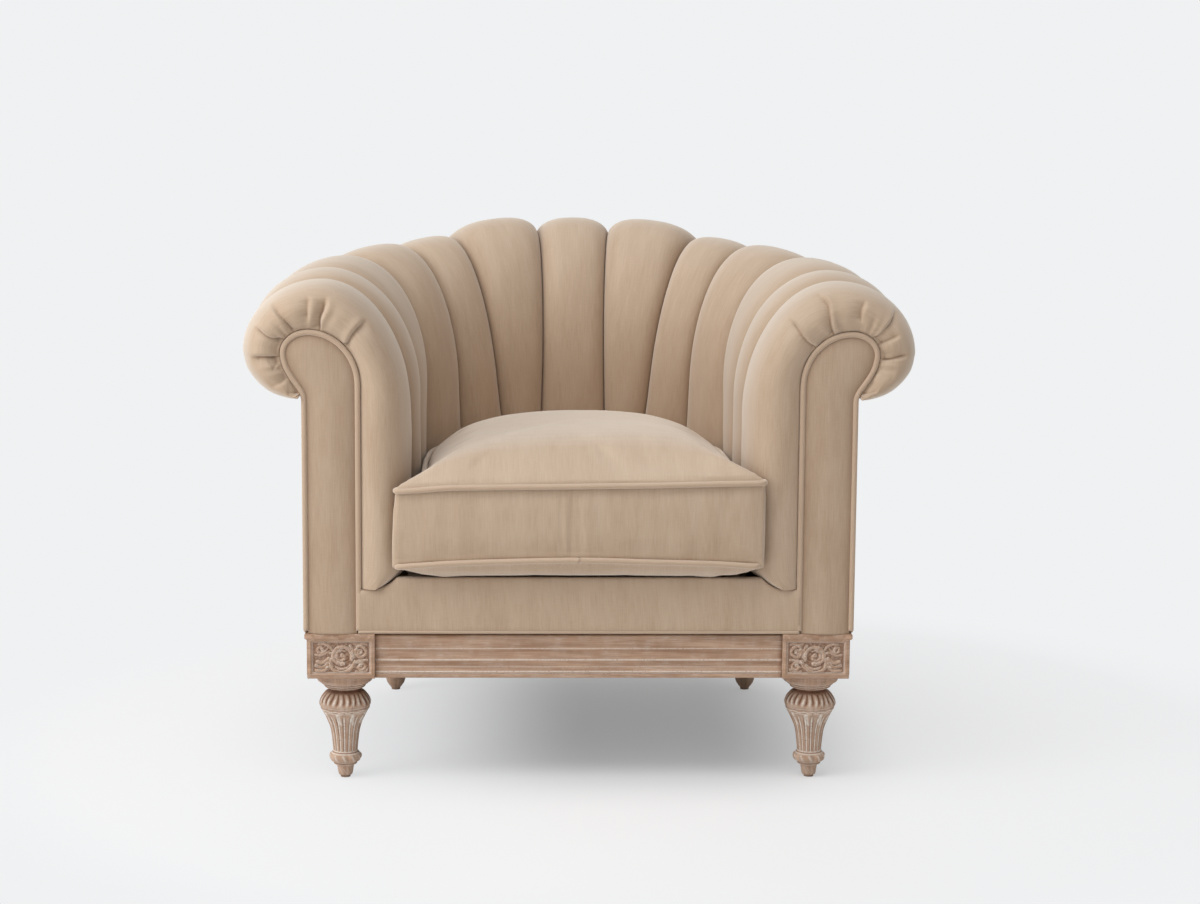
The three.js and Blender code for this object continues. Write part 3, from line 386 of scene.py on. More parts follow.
def ring_measures(rings: Array, joined: bool = False) -> tuple[Array, Array]:
    """Distances over a lofted surface, for its cloth directions.

    Args:
        rings: Points (rings, size, 3).
        joined: Whether the last ring joins the first.

    Returns:
        Distance from ring to ring and distance along each ring, both (rings + 1, size + 1).
    """
    closed = np.concatenate([rings, rings[:, :1]], axis=1)
    closed = np.concatenate([closed, closed[:1] if joined else closed[-1:]])
    measures = []
    for axis in (0, 1):
        steps = np.linalg.norm(np.diff(closed, axis=axis), axis=2)
        measures.append(np.insert(np.cumsum(steps, axis=axis), 0, 0.0, axis=axis))
    return measures[0], measures[1]


def axis_measures(rings: Array, first: int, second: int) -> tuple[Array, Array]:
    """Two coordinates over a lofted surface, for its cloth directions.

    Args:
        rings: Points (rings, size, 3).
        first: Axis of the first coordinate.
        second: Axis of the second one.

    Returns:
        Both coordinates, (rings + 1, size + 1).
    """
    closed = np.concatenate([rings, rings[:, :1]], axis=1)
    closed = np.concatenate([closed, closed[-1:]])
    return closed[..., first], closed[..., second]


def tube(path: Array, radius: float, sides: int = 14, closed: bool = False) -> Draft:
    """Round cord along a path.

    Args:
        path: Points (n, 3).
        radius: Radius of the cord.
        sides: Points round it.
        closed: Whether the path is a loop.

    Returns:
        The mesh.
    """
    before = np.roll(path, 1, axis=0)
    after = np.roll(path, -1, axis=0)
    if not closed:
        before[0], after[-1] = path[0], path[-1]
    tangent = after - before
    tangent /= np.linalg.norm(tangent, axis=1, keepdims=True)
    rings = []
    start = np.array([0.0, 0.0, 1.0]) if abs(tangent[0, 2]) < 0.9 else np.array([0.0, 1.0, 0.0])
    side = np.cross(tangent[0], start)
    angles = np.linspace(0.0, 2 * np.pi, sides, endpoint=False)
    for point, way in zip(path, tangent):
        side = side - way * np.dot(side, way)
        side /= np.linalg.norm(side)
        up = np.cross(way, side)
        rings.append(point + radius * (np.outer(np.cos(angles), side) + np.outer(np.sin(angles), up)))
    body = np.array(rings)
    across, along = ring_measures(body, closed)
    return loft(body, along, across, joined=closed)


def lathe(profile: Array, sides: int, bumps: Array | None = None) -> Draft:
    """Turned body about the Z axis.

    Args:
        profile: Radius and height pairs from the bottom to the top.
        sides: Points round it.
        bumps: Radius added at each (height, side), or nothing.

    Returns:
        The mesh, with U round it and V up it.
    """
    angles = np.linspace(0.0, 2 * np.pi, sides, endpoint=False)
    radii = profile[:, :1] + (bumps if bumps is not None else 0.0)
    radii = np.broadcast_to(radii, (len(profile), sides))
    rings = np.stack([radii * np.cos(angles), radii * np.sin(angles), np.repeat(profile[:, 1:], sides, 1)], axis=2)
    turns = np.linspace(0.0, 2 * np.pi, sides + 1)
    across = np.repeat(turns[None, :] * 0.03, len(profile) + 1, axis=0)
    heights = np.concatenate([profile[:, 1], profile[-1:, 1]])
    along = np.repeat(heights[:, None], sides + 1, axis=1)
    return loft(rings, across, along)


# Shared shader effects


class Nodes:
    """Short way to write the nodes of one tree."""

    def __init__(self, tree: bpy.types.NodeTree) -> None:
        """Keep the tree and empty it."""
        self.tree = tree
        tree.nodes.clear()

    def feed(self, target: Socket, source: object) -> None:
        """Set a socket or link it.

        Args:
            target: Input socket.
            source: Number, colour or output socket.
        """
        if isinstance(source, Socket):
            self.tree.links.new(source, target)
        else:
            target.default_value = source

    def add(self, kind: str, feeds: dict | None = None, **settings: object) -> bpy.types.Node:
        """Add a node.

        Args:
            kind: Name of the node's class, without its ShaderNode prefix.
            feeds: What its inputs get, by their name or number.
            settings: Properties to set on it.

        Returns:
            The node.
        """
        node = self.tree.nodes.new(kind if kind.startswith("Node") else f"ShaderNode{kind}")
        for key, value in settings.items():
            setattr(node, key, value)
        for key, value in (feeds or {}).items():
            self.feed(node.inputs[key], value)
        return node

    def math(self, operation: str, *parts: object, clamp: bool = False) -> Socket:
        """Result of a Math node over one or two numbers or sockets."""
        return self.add("Math", dict(enumerate(parts)), operation=operation, use_clamp=clamp).outputs[0]

    def times(self, a: object, b: object, clamp: bool = False) -> Socket:
        """Product of two numbers or sockets."""
        return self.math("MULTIPLY", a, b, clamp=clamp)

    def plus(self, a: object, b: object, clamp: bool = False) -> Socket:
        """Sum of two numbers or sockets."""
        return self.math("ADD", a, b, clamp=clamp)

    def vector(self, operation: str, *parts: object) -> bpy.types.Node:
        """Vector Math node over one or two vectors."""
        return self.add("VectorMath", dict(enumerate(parts)), operation=operation)

    def noise(self, place: object, scale: float, detail: float = 2.0, rough: float = 0.5) -> Socket:
        """Noise at a place."""
        feeds = {"Vector": place, "Scale": scale, "Detail": detail, "Roughness": rough}
        return self.add("TexNoise", feeds).outputs["Fac"]

    def streaks(self, place: object, scale: tuple[float, float, float], detail: float, rough: float) -> Socket:
        """Noise at a place that is scaled by axis."""
        return self.noise(self.vector("MULTIPLY", place, scale).outputs[0], 1.0, detail, rough)

    def step(self, value: object, low: float, high: float, to_high: float = 1.0) -> Socket:
        """Smooth step of a number, from 0 at low to its most at high."""
        feeds = {"Value": value, "From Min": low, "From Max": high, "To Min": 0.0, "To Max": to_high}
        return self.add("MapRange", feeds, interpolation_type="SMOOTHSTEP").outputs["Result"]

    def mix(self, share: object, a: object, b: object, blend: str = "MIX") -> Socket:
        """Mix of two colours by the share of the second."""
        return self.add("Mix", {0: share, 6: a, 7: b}, data_type="RGBA", blend_type=blend).outputs[2]

    def mesh_value(self, name: str) -> Socket:
        """Point value of the mesh, by its name."""
        return self.add("Attribute", attribute_name=name).outputs["Fac"]

    def cloth_place(self) -> Socket:
        """Place on the mesh along its cloth or grain."""
        return self.add("UVMap", uv_map="Cloth").outputs[0]


class EffectGroup:
    """Shader node group that is built once and used by several materials."""

    title = ""
    inputs: tuple[tuple[str, str, object], ...] = ()
    outputs: tuple[tuple[str, str], ...] = ()

    def __init__(self) -> None:
        """Make the group with its sockets and fill it."""
        self.tree = bpy.data.node_groups.new(self.title, "ShaderNodeTree")
        for name, kind, value in self.inputs:
            socket = self.tree.interface.new_socket(name, in_out="INPUT", socket_type=f"NodeSocket{kind}")
            if value is not None:
                socket.default_value = value
        for name, kind in self.outputs:
            self.tree.interface.new_socket(name, in_out="OUTPUT", socket_type=f"NodeSocket{kind}")
        nodes = Nodes(self.tree)
        nodes.add("NodeGroupOutput", self.fill(nodes, nodes.add("NodeGroupInput").outputs))

    def fill(self, nodes: Nodes, given: Sockets) -> dict[str, Socket]:
        """Add the nodes of the effect.

        Args:
            nodes: Writer of the group's tree.
            given: The group's inputs.

        Returns:
            The group's outputs by name.
        """
        raise NotImplementedError

    def place(self, nodes: Nodes, **values: object) -> Sockets:
        """Outputs of the group in a material, with its inputs fed by name."""
        return nodes.add("Group", values, node_tree=self.tree).outputs


class BrushedNap(EffectGroup):
    """Slubbed velvet: upright threads, short pile and patches where the nap lies another way."""

    title = "Brushed nap"
    inputs = (
        ("Place", "Vector", None),
        ("Light", "Color", (0.7, 0.6, 0.5, 1.0)),
        ("Deep", "Color", (0.5, 0.4, 0.3, 1.0)),
        ("Thread", "Float", 0.3),
        ("Patch", "Float", 0.3),
    )
    outputs = SURFACE

    def fill(self, nodes: Nodes, given: Sockets) -> dict[str, Socket]:
        """Add the nodes of the effect.

        Args:
            nodes: Writer of the group's tree.
            given: The group's inputs.

        Returns:
            The group's outputs by name.
        """
        place, times, plus = given["Place"], nodes.times, nodes.plus
        threads = nodes.streaks(place, (620.0, 26.0, 26.0), 2.0, 0.6)
        cross = nodes.streaks(place, (60.0, 900.0, 900.0), 1.0, 0.5)
        pile = nodes.noise(place, 2300.0, 1.0, 0.5)
        strokes = nodes.streaks(place, (46.0, 7.0, 7.0), 3.0, 0.6)
        clouds = nodes.streaks(place, (11.0, 6.0, 6.0), 2.0, 0.5)
        thread_part = times(nodes.math("SUBTRACT", threads, 0.5), given["Thread"])
        cross_part = times(times(nodes.math("SUBTRACT", cross, 0.5), 0.35), given["Thread"])
        nap = plus(times(strokes, 0.55), times(clouds, 0.6))
        nap_part = times(nodes.math("SUBTRACT", nap, 0.575), given["Patch"])
        level = plus(plus(plus(thread_part, cross_part), nap_part), 0.5, clamp=True)
        height = plus(times(threads, 0.55), times(pile, 0.3))
        return {
            "Color": nodes.mix(level, given["Deep"], given["Light"]),
            "Roughness": plus(times(nap, 0.2), 0.72),
            "Height": plus(height, times(cross, 0.15)),
        }


class OpenGrain(EffectGroup):
    """Wood with long grain, open pores and lime left in the pores and hollows."""

    title = "Open grain"
    inputs = (
        ("Place", "Vector", None),
        ("Wood", "Color", (0.45, 0.3, 0.2, 1.0)),
        ("Dark", "Color", (0.25, 0.16, 0.1, 1.0)),
        ("Lime", "Color", (0.7, 0.65, 0.58, 1.0)),
        ("Limed", "Float", 0.4),
        ("Relief", "Float", 0.0),
        ("Grain", "Float", 1.0),
    )
    outputs = SURFACE

    def fill(self, nodes: Nodes, given: Sockets) -> dict[str, Socket]:
        """Add the nodes of the effect.

        Args:
            nodes: Writer of the group's tree.
            given: The group's inputs.

        Returns:
            The group's outputs by name.
        """
        place, times, plus, step = given["Place"], nodes.times, nodes.plus, nodes.step
        rings = nodes.streaks(place, (75.0, 5.0, 75.0), 3.0, 0.6)
        fibres = nodes.streaks(place, (750.0, 14.0, 750.0), 2.0, 0.6)
        pores = nodes.streaks(place, (1300.0, 42.0, 1300.0), 1.0, 0.5)
        clouds = nodes.noise(place, 30.0, 3.0, 0.6)
        figure = plus(times(rings, 0.6), times(fibres, 0.4))
        depth = times(step(figure, 0.36, 0.66), given["Grain"], clamp=True)
        wash = times(step(pores, 0.56, 0.7), step(clouds, 0.35, 0.7))
        film = times(step(clouds, 0.3, 0.75), 0.3)
        lime = times(plus(times(wash, 0.8), film), given["Limed"])
        broken = step(nodes.noise(place, 320.0, 2.0, 0.6), 0.24, 0.5)
        lime = nodes.math("MAXIMUM", lime, times(given["Relief"], broken), clamp=True)
        return {
            "Color": nodes.mix(lime, nodes.mix(depth, given["Dark"], given["Wood"]), given["Lime"]),
            "Roughness": plus(times(lime, 0.2), 0.6),
            "Height": nodes.math("SUBTRACT", times(fibres, 0.5), times(pores, 0.5)),
        }


class PlainWeave(EffectGroup):
    """Over and under weave of a plain cloth."""

    title = "Plain weave"
    inputs = (("Place", "Vector", None), ("Count", "Float", 900.0))
    outputs = (("Mask", "Float"), ("Height", "Float"))

    def fill(self, nodes: Nodes, given: Sockets) -> dict[str, Socket]:
        """Add the nodes of the effect.

        Args:
            nodes: Writer of the group's tree.
            given: The group's inputs.

        Returns:
            The group's outputs by name.
        """
        parts = nodes.add("SeparateXYZ", {0: given["Place"]}).outputs
        over, under = (nodes.math("SINE", nodes.times(part, given["Count"])) for part in (parts[0], parts[1]))
        weave = nodes.times(over, under)
        uneven = nodes.noise(given["Place"], 140.0, 2.0, 0.5)
        return {
            "Mask": nodes.plus(nodes.times(weave, 0.25), uneven, clamp=True),
            "Height": nodes.plus(nodes.times(weave, 0.5), 0.5),
        }


# Finishes


def srgb(red: int, green: int, blue: int) -> Colour:
    """Linear colour, with full alpha, from screen values of 0 to 255."""
    parts = [value / 255 for value in (red, green, blue)]
    return (*(c / 12.92 if c <= 0.04045 else ((c + 0.055) / 1.055) ** 2.4 for c in parts), 1.0)


@dataclass(frozen=True)
class Finish:
    """Material that its kind draws with one Principled shader."""

    name: str

    def coat(self, nodes: Nodes, effect: EffectGroup | None) -> Coat:
        """Draw the finish.

        Args:
            nodes: Writer of the material's tree.
            effect: Shared effect that it uses.

        Returns:
            The shader's inputs, the height of the relief, its real depth and its strength.
        """
        raise NotImplementedError

    def build(self, effect: EffectGroup | None = None) -> bpy.types.Material:
        """Make the material.

        Args:
            effect: Shared effect that it uses.

        Returns:
            The material.
        """
        material = bpy.data.materials.new(self.name)
        material.use_nodes = True
        nodes = Nodes(material.node_tree)
        inputs, height, depth, strength = self.coat(nodes, effect)
        bump = nodes.add("Bump", {"Strength": strength, "Distance": depth, "Height": height})
        shader = nodes.add("BsdfPrincipled", {**inputs, "Normal": bump.outputs["Normal"]})
        nodes.add("OutputMaterial", {"Surface": shader.outputs[0]})
        return material


@dataclass(frozen=True)
class VelvetFinish(Finish):
    """Brushed velvet of the covers, with painted sheen, painted top light and painted shade in its base colour."""

    name: str = "Beige velvet"
    light: Colour = srgb(201, 180, 158)
    deep: Colour = srgb(174, 148, 123)
    # rim: colour of the painted sheen at grazing views and of the painted top light
    rim: Colour = srgb(228, 219, 208)
    # Colour of the painted shade that the hollow values multiply into seams, pleat creases and the piping's edges
    painted_shade: Colour = srgb(160, 132, 110)
    thread: float = 0.8
    patch: float = 1.2
    relief: float = 0.0003

    def coat(self, nodes: Nodes, effect: EffectGroup | None) -> Coat:
        """Draw the finish.

        Args:
            nodes: Writer of the material's tree.
            effect: Shared nap effect.

        Returns:
            The shader's inputs, the height of the relief, its real depth and its strength.
        """
        nap = effect.place(
            nodes, Place=nodes.cloth_place(), Light=self.light, Deep=self.deep, Thread=self.thread, Patch=self.patch
        )
        # Painted sheen: the rim colour is mixed into the base colour where the surface turns away from the view
        slant = nodes.add("LayerWeight", {"Blend": 0.5}).outputs["Facing"]
        edge = nodes.times(nodes.math("POWER", slant, 2.4), 0.85)
        # Painted top light: the rim colour is also mixed into surfaces that face up and a little forward
        normal = nodes.add("NewGeometry").outputs["Normal"]
        toward = nodes.vector("DOT_PRODUCT", normal, (0.0, -0.20, 0.98)).outputs["Value"]
        painted_top_light = nodes.times(nodes.math("POWER", nodes.math("MAXIMUM", toward, 0.0), 1.6), 0.14)
        tone = nodes.mix(nodes.math("MAXIMUM", edge, painted_top_light), nap["Color"], self.rim)
        inputs = {
            # The hollow values paint shade into the base colour
            "Base Color": nodes.mix(nodes.mesh_value("hollow"), tone, self.painted_shade, "MULTIPLY"),
            "Roughness": nap["Roughness"],
            "Specular IOR Level": 0.1,
            "Sheen Weight": 0.12,
            "Sheen Roughness": 0.35,
            "Sheen Tint": srgb(246, 238, 228),
        }
        return inputs, nap["Height"], self.relief, 0.6


@dataclass(frozen=True)
class LimedOakFinish(Finish):
    """Weathered, limed oak of the base and legs."""

    name: str = "Limed oak"
    wood: Colour = srgb(192, 158, 132)
    dark: Colour = srgb(156, 122, 97)
    # Colour of the lime, also used for a painted highlight along the flutes of the rails
    lime: Colour = srgb(230, 222, 212)
    limed: float = 0.45
    relief: float = 0.0005

    def coat(self, nodes: Nodes, effect: EffectGroup | None) -> Coat:
        """Draw the finish.

        Args:
            nodes: Writer of the material's tree.
            effect: Shared wood effect.

        Returns:
            The shader's inputs, the height of the relief, its real depth and its strength.
        """
        relief = nodes.mesh_value("lime")
        grain = effect.place(
            nodes,
            Place=nodes.cloth_place(),
            Wood=self.wood,
            Dark=self.dark,
            Lime=self.lime,
            Limed=self.limed,
            Relief=relief,
        )
        inputs = {
            # The hollow values paint shade into the recesses of the carving and turnings
            "Base Color": nodes.mix(nodes.mesh_value("hollow"), grain["Color"], self.dark, "MULTIPLY"),
            "Roughness": grain["Roughness"],
            "Specular IOR Level": 0.3,
        }
        return inputs, grain["Height"], self.relief, 0.5


@dataclass(frozen=True)
class FrameTimberFinish(Finish):
    """Plain planed timber inside the upholstery."""

    name: str = "Frame timber"
    wood: Colour = srgb(214, 185, 140)
    dark: Colour = srgb(184, 150, 104)

    def coat(self, nodes: Nodes, effect: EffectGroup | None) -> Coat:
        """Draw the finish.

        Args:
            nodes: Writer of the material's tree.
            effect: Shared wood effect.

        Returns:
            The shader's inputs, the height of the relief, its real depth and its strength.
        """
        place = nodes.add("TexCoord").outputs["Object"]
        grain = effect.place(nodes, Place=place, Wood=self.wood, Dark=self.dark, Lime=self.wood, Limed=0.2, Grain=0.8)
        return {"Base Color": grain["Color"], "Roughness": grain["Roughness"]}, grain["Height"], 0.0003, 0.4


@dataclass(frozen=True)
class WovenFinish(Finish):
    """Plain woven cloth."""

    light: Colour
    deep: Colour
    count: float = 2600.0

    def coat(self, nodes: Nodes, effect: EffectGroup | None) -> Coat:
        """Draw the finish.

        Args:
            nodes: Writer of the material's tree.
            effect: Shared weave effect.

        Returns:
            The shader's inputs, the height of the relief, its real depth and its strength.
        """
        weave = effect.place(nodes, Place=nodes.cloth_place(), Count=self.count)
        inputs = {"Base Color": nodes.mix(weave["Mask"], self.deep, self.light), "Roughness": 0.9}
        return inputs, weave["Height"], 0.0003, 0.5


@dataclass(frozen=True)
class HardwareFinish(Finish):
    """Metal wire, bolts or moulded glides with faint rubbing marks."""

    colour: Colour
    wear_and_seam_shade: Colour
    metal: float
    rough: float

    def coat(self, nodes: Nodes, effect: EffectGroup | None) -> Coat:
        """Draw the finish.

        Args:
            nodes: Writer of the material's tree.
            effect: None is used.

        Returns:
            The shader's inputs, the height of the relief, its real depth and its strength.
        """
        place = nodes.add("TexCoord").outputs["Object"]
        marks = nodes.streaks(place, (90.0, 90.0, 900.0), 3.0, 0.6)
        spots = nodes.step(nodes.noise(place, 55.0, 3.0, 0.6), 0.45, 0.7)
        inputs = {
            "Base Color": nodes.mix(spots, self.colour, self.wear_and_seam_shade),
            "Roughness": nodes.plus(nodes.times(marks, 0.2), self.rough),
            "Metallic": self.metal,
        }
        return inputs, marks, 0.0002, 0.3


@dataclass
class Finishes:
    """Every finish of the chair, built once: by slot for new pieces, and three for kept shapes."""

    slots: dict[Slot, bpy.types.Material] = field(init=False)
    timber: bpy.types.Material = field(init=False)
    steel: bpy.types.Material = field(init=False)
    glide: bpy.types.Material = field(init=False)

    def __post_init__(self) -> None:
        """Build the shared effects and the materials."""
        nap, grain, weave = BrushedNap(), OpenGrain(), PlainWeave()
        piping = VelvetFinish("Velvet piping", srgb(198, 174, 151), srgb(180, 155, 132), patch=0.5, thread=0.6)
        self.slots = {
            Slot.VELVET: VelvetFinish().build(nap),
            Slot.PIPING: piping.build(nap),
            Slot.OAK: LimedOakFinish().build(grain),
            Slot.DECK: WovenFinish("Platform cloth", srgb(196, 178, 154), srgb(172, 152, 128)).build(weave),
            Slot.DUST: WovenFinish("Dust cloth", srgb(66, 65, 66), srgb(40, 40, 41), 4200.0).build(weave),
        }
        self.timber = FrameTimberFinish().build(grain)
        self.steel = HardwareFinish("Oiled steel", srgb(150, 152, 155), srgb(112, 108, 104), 0.9, 0.32).build()
        self.glide = HardwareFinish("Felt glide", srgb(150, 128, 110), srgb(126, 106, 90), 0.0, 0.75).build()

    def settle(
        self, made: bpy.types.Object, node: str, slot: Slot, fill: float = 0.0, body: str = "chair_frame"
    ) -> None:
        """Ride a piece on its body and hide the node that it stands for.

        Args:
            made: The piece.
            node: Node that it stands for.
            slot: Not used: slot of the finish that it takes.
            fill: Not used: share of its inside that is padding, or 0 for a hard piece.
            body: Body that it moves with.
        """
        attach(made, body)
        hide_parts(node)
        log.info("%s: %d points, stands for %s", made.name, len(made.data.vertices), node)

    def dress(
        self, draft: Draft, name: str, slot: Slot, fill: float = 0.0, body: str = "chair_frame"
    ) -> bpy.types.Object:
        """Build a piece and settle it.

        Args:
            draft: Mesh of the piece.
            name: Name of its node, and after a space the ending of its own name.
            slot: Slot of the finish that it takes.
            fill: Share of its inside that is padding, or 0 for a hard piece; passed on to settle, which does not use
                it.
            body: Body that it moves with.

        Returns:
            The piece.
        """
        made = draft.build(name.replace(" ", "_"), self.slots[slot])
        self.settle(made, name.split()[0], slot, fill, body)
        return made


# Plan of the tub


@dataclass(frozen=True)
class Section:
    """One upright slice through an arm or the back.

    Attributes:
        foot: Plan point of the valley between channels at the seat.
        outward: Plan direction away from the seat.
        lean: Plan shift of the crest along the wall.
        reach: Distance outward from foot to crest.
        height: Height of the crest valley.
        rise: 0 at an arm and 1 at the middle of the back.
    """

    foot: Array
    outward: Array
    lean: Array
    reach: float
    height: float
    rise: float

    def fan(self, z: Array) -> Array:
        """Share of the lean at a height of the cover, so that the seams fan out nearly straight."""
        return np.clip((z - self.height + 0.325) / 0.325, 0.0, 1.0) ** 0.85

    def place(self, out: Array, z: Array, share: Array | None = None) -> Array:
        """World points from distances outward and heights, with the lean that belongs to each if none is given."""
        share = np.clip(out / self.reach, 0.0, 1.0) if share is None else share
        return np.column_stack([self.foot + np.outer(out, self.outward) + np.outer(share, self.lean), z])


@dataclass(frozen=True)
class Scroll:
    """Face, sweep, roll and tuck of a wall section, followed by the number of a point on it."""

    face: float
    bottom: float
    sweep_centre: tuple[float, float]
    sweep_radii: tuple[float, float]
    roll_centre: tuple[float, float]
    roll_radii: tuple[float, float]
    neck: tuple[float, float]
    neck_outs: tuple[float, ...]
    neck_drops: tuple[float, ...]

    def follow(self, k: Array) -> tuple[Array, Array]:
        """Points and outward normals in (out, height).

        Args:
            k: Place on the outline: 0 to 3 face, 3 to 8 sweep, 8 to 12 roll, 12 to 16 tuck.

        Returns:
            Points (n, 2) and normals (n, 2).
        """
        points = np.zeros((len(k), 2))
        normals = np.zeros((len(k), 2))
        on_face = k <= 3
        share = k[on_face] / 3
        points[on_face] = np.column_stack(
            [np.full(share.shape, self.face), self.bottom + (self.sweep_centre[1] - self.bottom) * share]
        )
        normals[on_face] = (-1.0, 0.0)
        for low, high, start, end, centre, radii in (
            (3, 8, math.pi, math.pi / 2, self.sweep_centre, self.sweep_radii),
            (8, 12, math.pi / 2, 0.0, self.roll_centre, self.roll_radii),
        ):
            on_arc = (k > low) & (k <= high)
            angle = start + (end - start) * (k[on_arc] - low) / (high - low)
            points[on_arc] = np.column_stack(
                [centre[0] + radii[0] * np.cos(angle), centre[1] + radii[1] * np.sin(angle)]
            )
            normals[on_arc] = np.column_stack([np.cos(angle) / radii[0], np.sin(angle) / radii[1]])
        on_neck = k > 12
        if on_neck.any():
            places = np.arange(5)
            out = spline(k[on_neck] - 12, places, np.array([1.0, *self.neck_outs]))
            drop = spline(k[on_neck] - 12, places, np.array([0.0, *self.neck_drops]))
            wide = (self.roll_centre[0] + self.roll_radii[0], self.roll_centre[1])
            points[on_neck] = np.column_stack(
                [self.neck[0] + (wide[0] - self.neck[0]) * out, wide[1] + (self.neck[1] - wide[1]) * drop]
            )
            normals[on_neck] = np.column_stack([out, -drop])
        normals /= np.linalg.norm(normals, axis=1, keepdims=True)
        return points, normals


@dataclass(frozen=True)
class TubPlan:
    """Seams, crest and sections of the padded arms and back, in metres.

    Attributes:
        front: Y of the plane of the arm facings.
    """

    front: float
    seat_half: float = 0.284
    arm_thickness: float = 0.153
    bottom: float = 0.3223
    arm_crest: float = 0.790
    crest_rise: float = 0.0655
    seam_depths: tuple[float, ...] = (0.005, 0.160, 0.300)
    seat_turns: tuple[float, ...] = (0.203, 0.512, 0.726, 0.89)
    crest_turns: tuple[float, ...] = (0.269, 0.491, 0.664, 0.909)
    outward_turns: tuple[float, ...] = (0.0, 0.0, 0.0, 0.19, 0.49, 0.7, 0.93)
    rises: tuple[float, ...] = (0.0, 0.0, 0.1, 0.25, 0.5, 0.76, 1.0)
    fullness: float = 0.022
    crest_fullness: tuple[float, ...] = (1.0, 1.15, 1.2, 1.05, 0.65, 1.25, 0.95)
    tuck_fullness: tuple[float, ...] = (0.95, 0.75, 0.45, 0.1)
    puff_depth: float = 0.160
    puff_apex: float = 0.080
    neck_shift: float = 0.028
    base_straight: float = 0.300
    base_bend: float = 0.490
    seat_line: Array = field(init=False, repr=False)
    crest_line: Array = field(init=False, repr=False)
    turn_line: Array = field(init=False, repr=False)

    @property
    def half_width(self) -> float:
        """Half width over the facings."""
        return self.seat_half + self.arm_thickness

    def __post_init__(self) -> None:
        """Work out the seam points of both halves."""
        seat = [(self.seat_half, y, 0.0) for y in self.seam_depths]
        seat += [self.bend(self.seat_half, 0.330, 0.270, 2.2, share) for share in self.seat_turns]
        crest_half = self.half_width - 0.021
        crest = [(crest_half, y, 0.0) for y in self.seam_depths]
        crest += [self.bend(crest_half, 0.300, 0.425, 2.1, share) for share in self.crest_turns]
        heights = [self.arm_crest + self.crest_rise * share for share in self.rises]
        crest = [(x, y, z) for (x, y, _), z in zip(crest, heights)]
        turn = list(zip(self.outward_turns, self.rises, [0.0] * 7))
        other_turns = [(2 - x, y, z) for x, y, z in reversed(turn)]
        object.__setattr__(self, "seat_line", np.array(seat + [(-x, y, z) for x, y, z in reversed(seat)]))
        object.__setattr__(self, "crest_line", np.array(crest + [(-x, y, z) for x, y, z in reversed(crest)]))
        object.__setattr__(self, "turn_line", np.array(turn + other_turns))

    @staticmethod
    def bend(half: float, straight: float, depth: float, roundness: float, share: float) -> tuple[float, float, float]:
        """Point of a plan curve that runs straight back at its half width and then turns in over a depth."""
        side, back = (part(share * math.pi / 2) ** (2 / roundness) for part in (math.cos, math.sin))
        return half * side, straight + depth * back, 0.0

    @staticmethod
    def curve_point(line: Array, share: float) -> Array:
        """Point on a centripetal curve through the seam points.

        Args:
            line: Seam points in millimetre-like spacing of their own.
            share: Share of the way along.

        Returns:
            The point.
        """
        last = len(line) - 1
        position = last * share
        i = min(int(position), last - 1)
        weight = position - i
        p1, p2 = line[i], line[i + 1]
        p0 = line[i - 1] if i > 0 else 2 * line[0] - line[1]
        p3 = line[i + 2] if i + 2 <= last else 2 * line[last] - line[last - 1]
        spans = [np.sum((a - b) ** 2) ** 0.25 for a, b in ((p0, p1), (p1, p2), (p2, p3))]
        middle = spans[1] if spans[1] > 1e-4 else 1.0
        first = spans[0] if spans[0] > 1e-4 else middle
        third = spans[2] if spans[2] > 1e-4 else middle
        t1 = ((p1 - p0) / first - (p2 - p0) / (first + middle) + (p2 - p1) / middle) * middle
        t2 = ((p2 - p1) / middle - (p3 - p1) / (middle + third) + (p3 - p2) / third) * middle
        w, w2, w3 = weight, weight**2, weight**3
        return (2 * w3 - 3 * w2 + 1) * p1 + (w3 - 2 * w2 + w) * t1 + (3 * w2 - 2 * w3) * p2 + (w3 - w2) * t2

    def section(self, u: float) -> Section:
        """Slice at seam number u.

        Args:
            u: Seam number from 0 at the right front to 13 at the left front.

        Returns:
            The slice.
        """
        share = u / CHANNELS
        foot = self.curve_point(self.seat_line * 1000, share) / 1000
        crest = self.curve_point(self.crest_line * 1000, share) / 1000
        turn = self.curve_point(self.turn_line, share)
        angle = turn[0] * math.pi / 2
        outward = np.array([math.cos(angle), math.sin(angle)])
        lean = crest[:2] - foot[:2]
        reach = float(lean @ outward)
        base = np.array([foot[0], foot[1] + self.front])
        return Section(base, outward, lean - reach * outward, reach, float(crest[2]), float(turn[1]))

    def neck_out(self, at: Section, more: float) -> float:
        """Distance outward of the neck under the roll, with a little more."""
        return self.arm_thickness + more + self.neck_shift * at.rise

    def valley(self, at: Section) -> Scroll:
        """Padding outline between two channels at a slice."""
        rise, roll_height = 0.190 + 0.060 * at.rise, 0.090
        return Scroll(
            0.0,
            self.bottom,
            (at.reach, at.height - rise),
            (at.reach, rise),
            (at.reach, at.height - roll_height),
            (0.102 + 0.006 * at.rise, roll_height),
            (self.neck_out(at, 0.015), at.height - 0.163),
            (0.9, 0.6, 0.25, 0.0),
            (0.33, 0.67, 0.87, 1.0),
        )

    def core(self, at: Section) -> Scroll:
        """Outline of the frame under the padding at a slice."""
        face, centre = 0.070, self.neck_out(at, -0.005)
        return Scroll(
            face,
            self.bottom,
            (centre, at.height - 0.140),
            (centre - face, 0.084),
            (centre, at.height - 0.090),
            (0.040, 0.034),
            (self.neck_out(at, CORE_NECK), at.height - 0.157),
            (0.86, 0.55, 0.15, 0.0),
            (0.3, 0.58, 0.86, 1.0),
        )

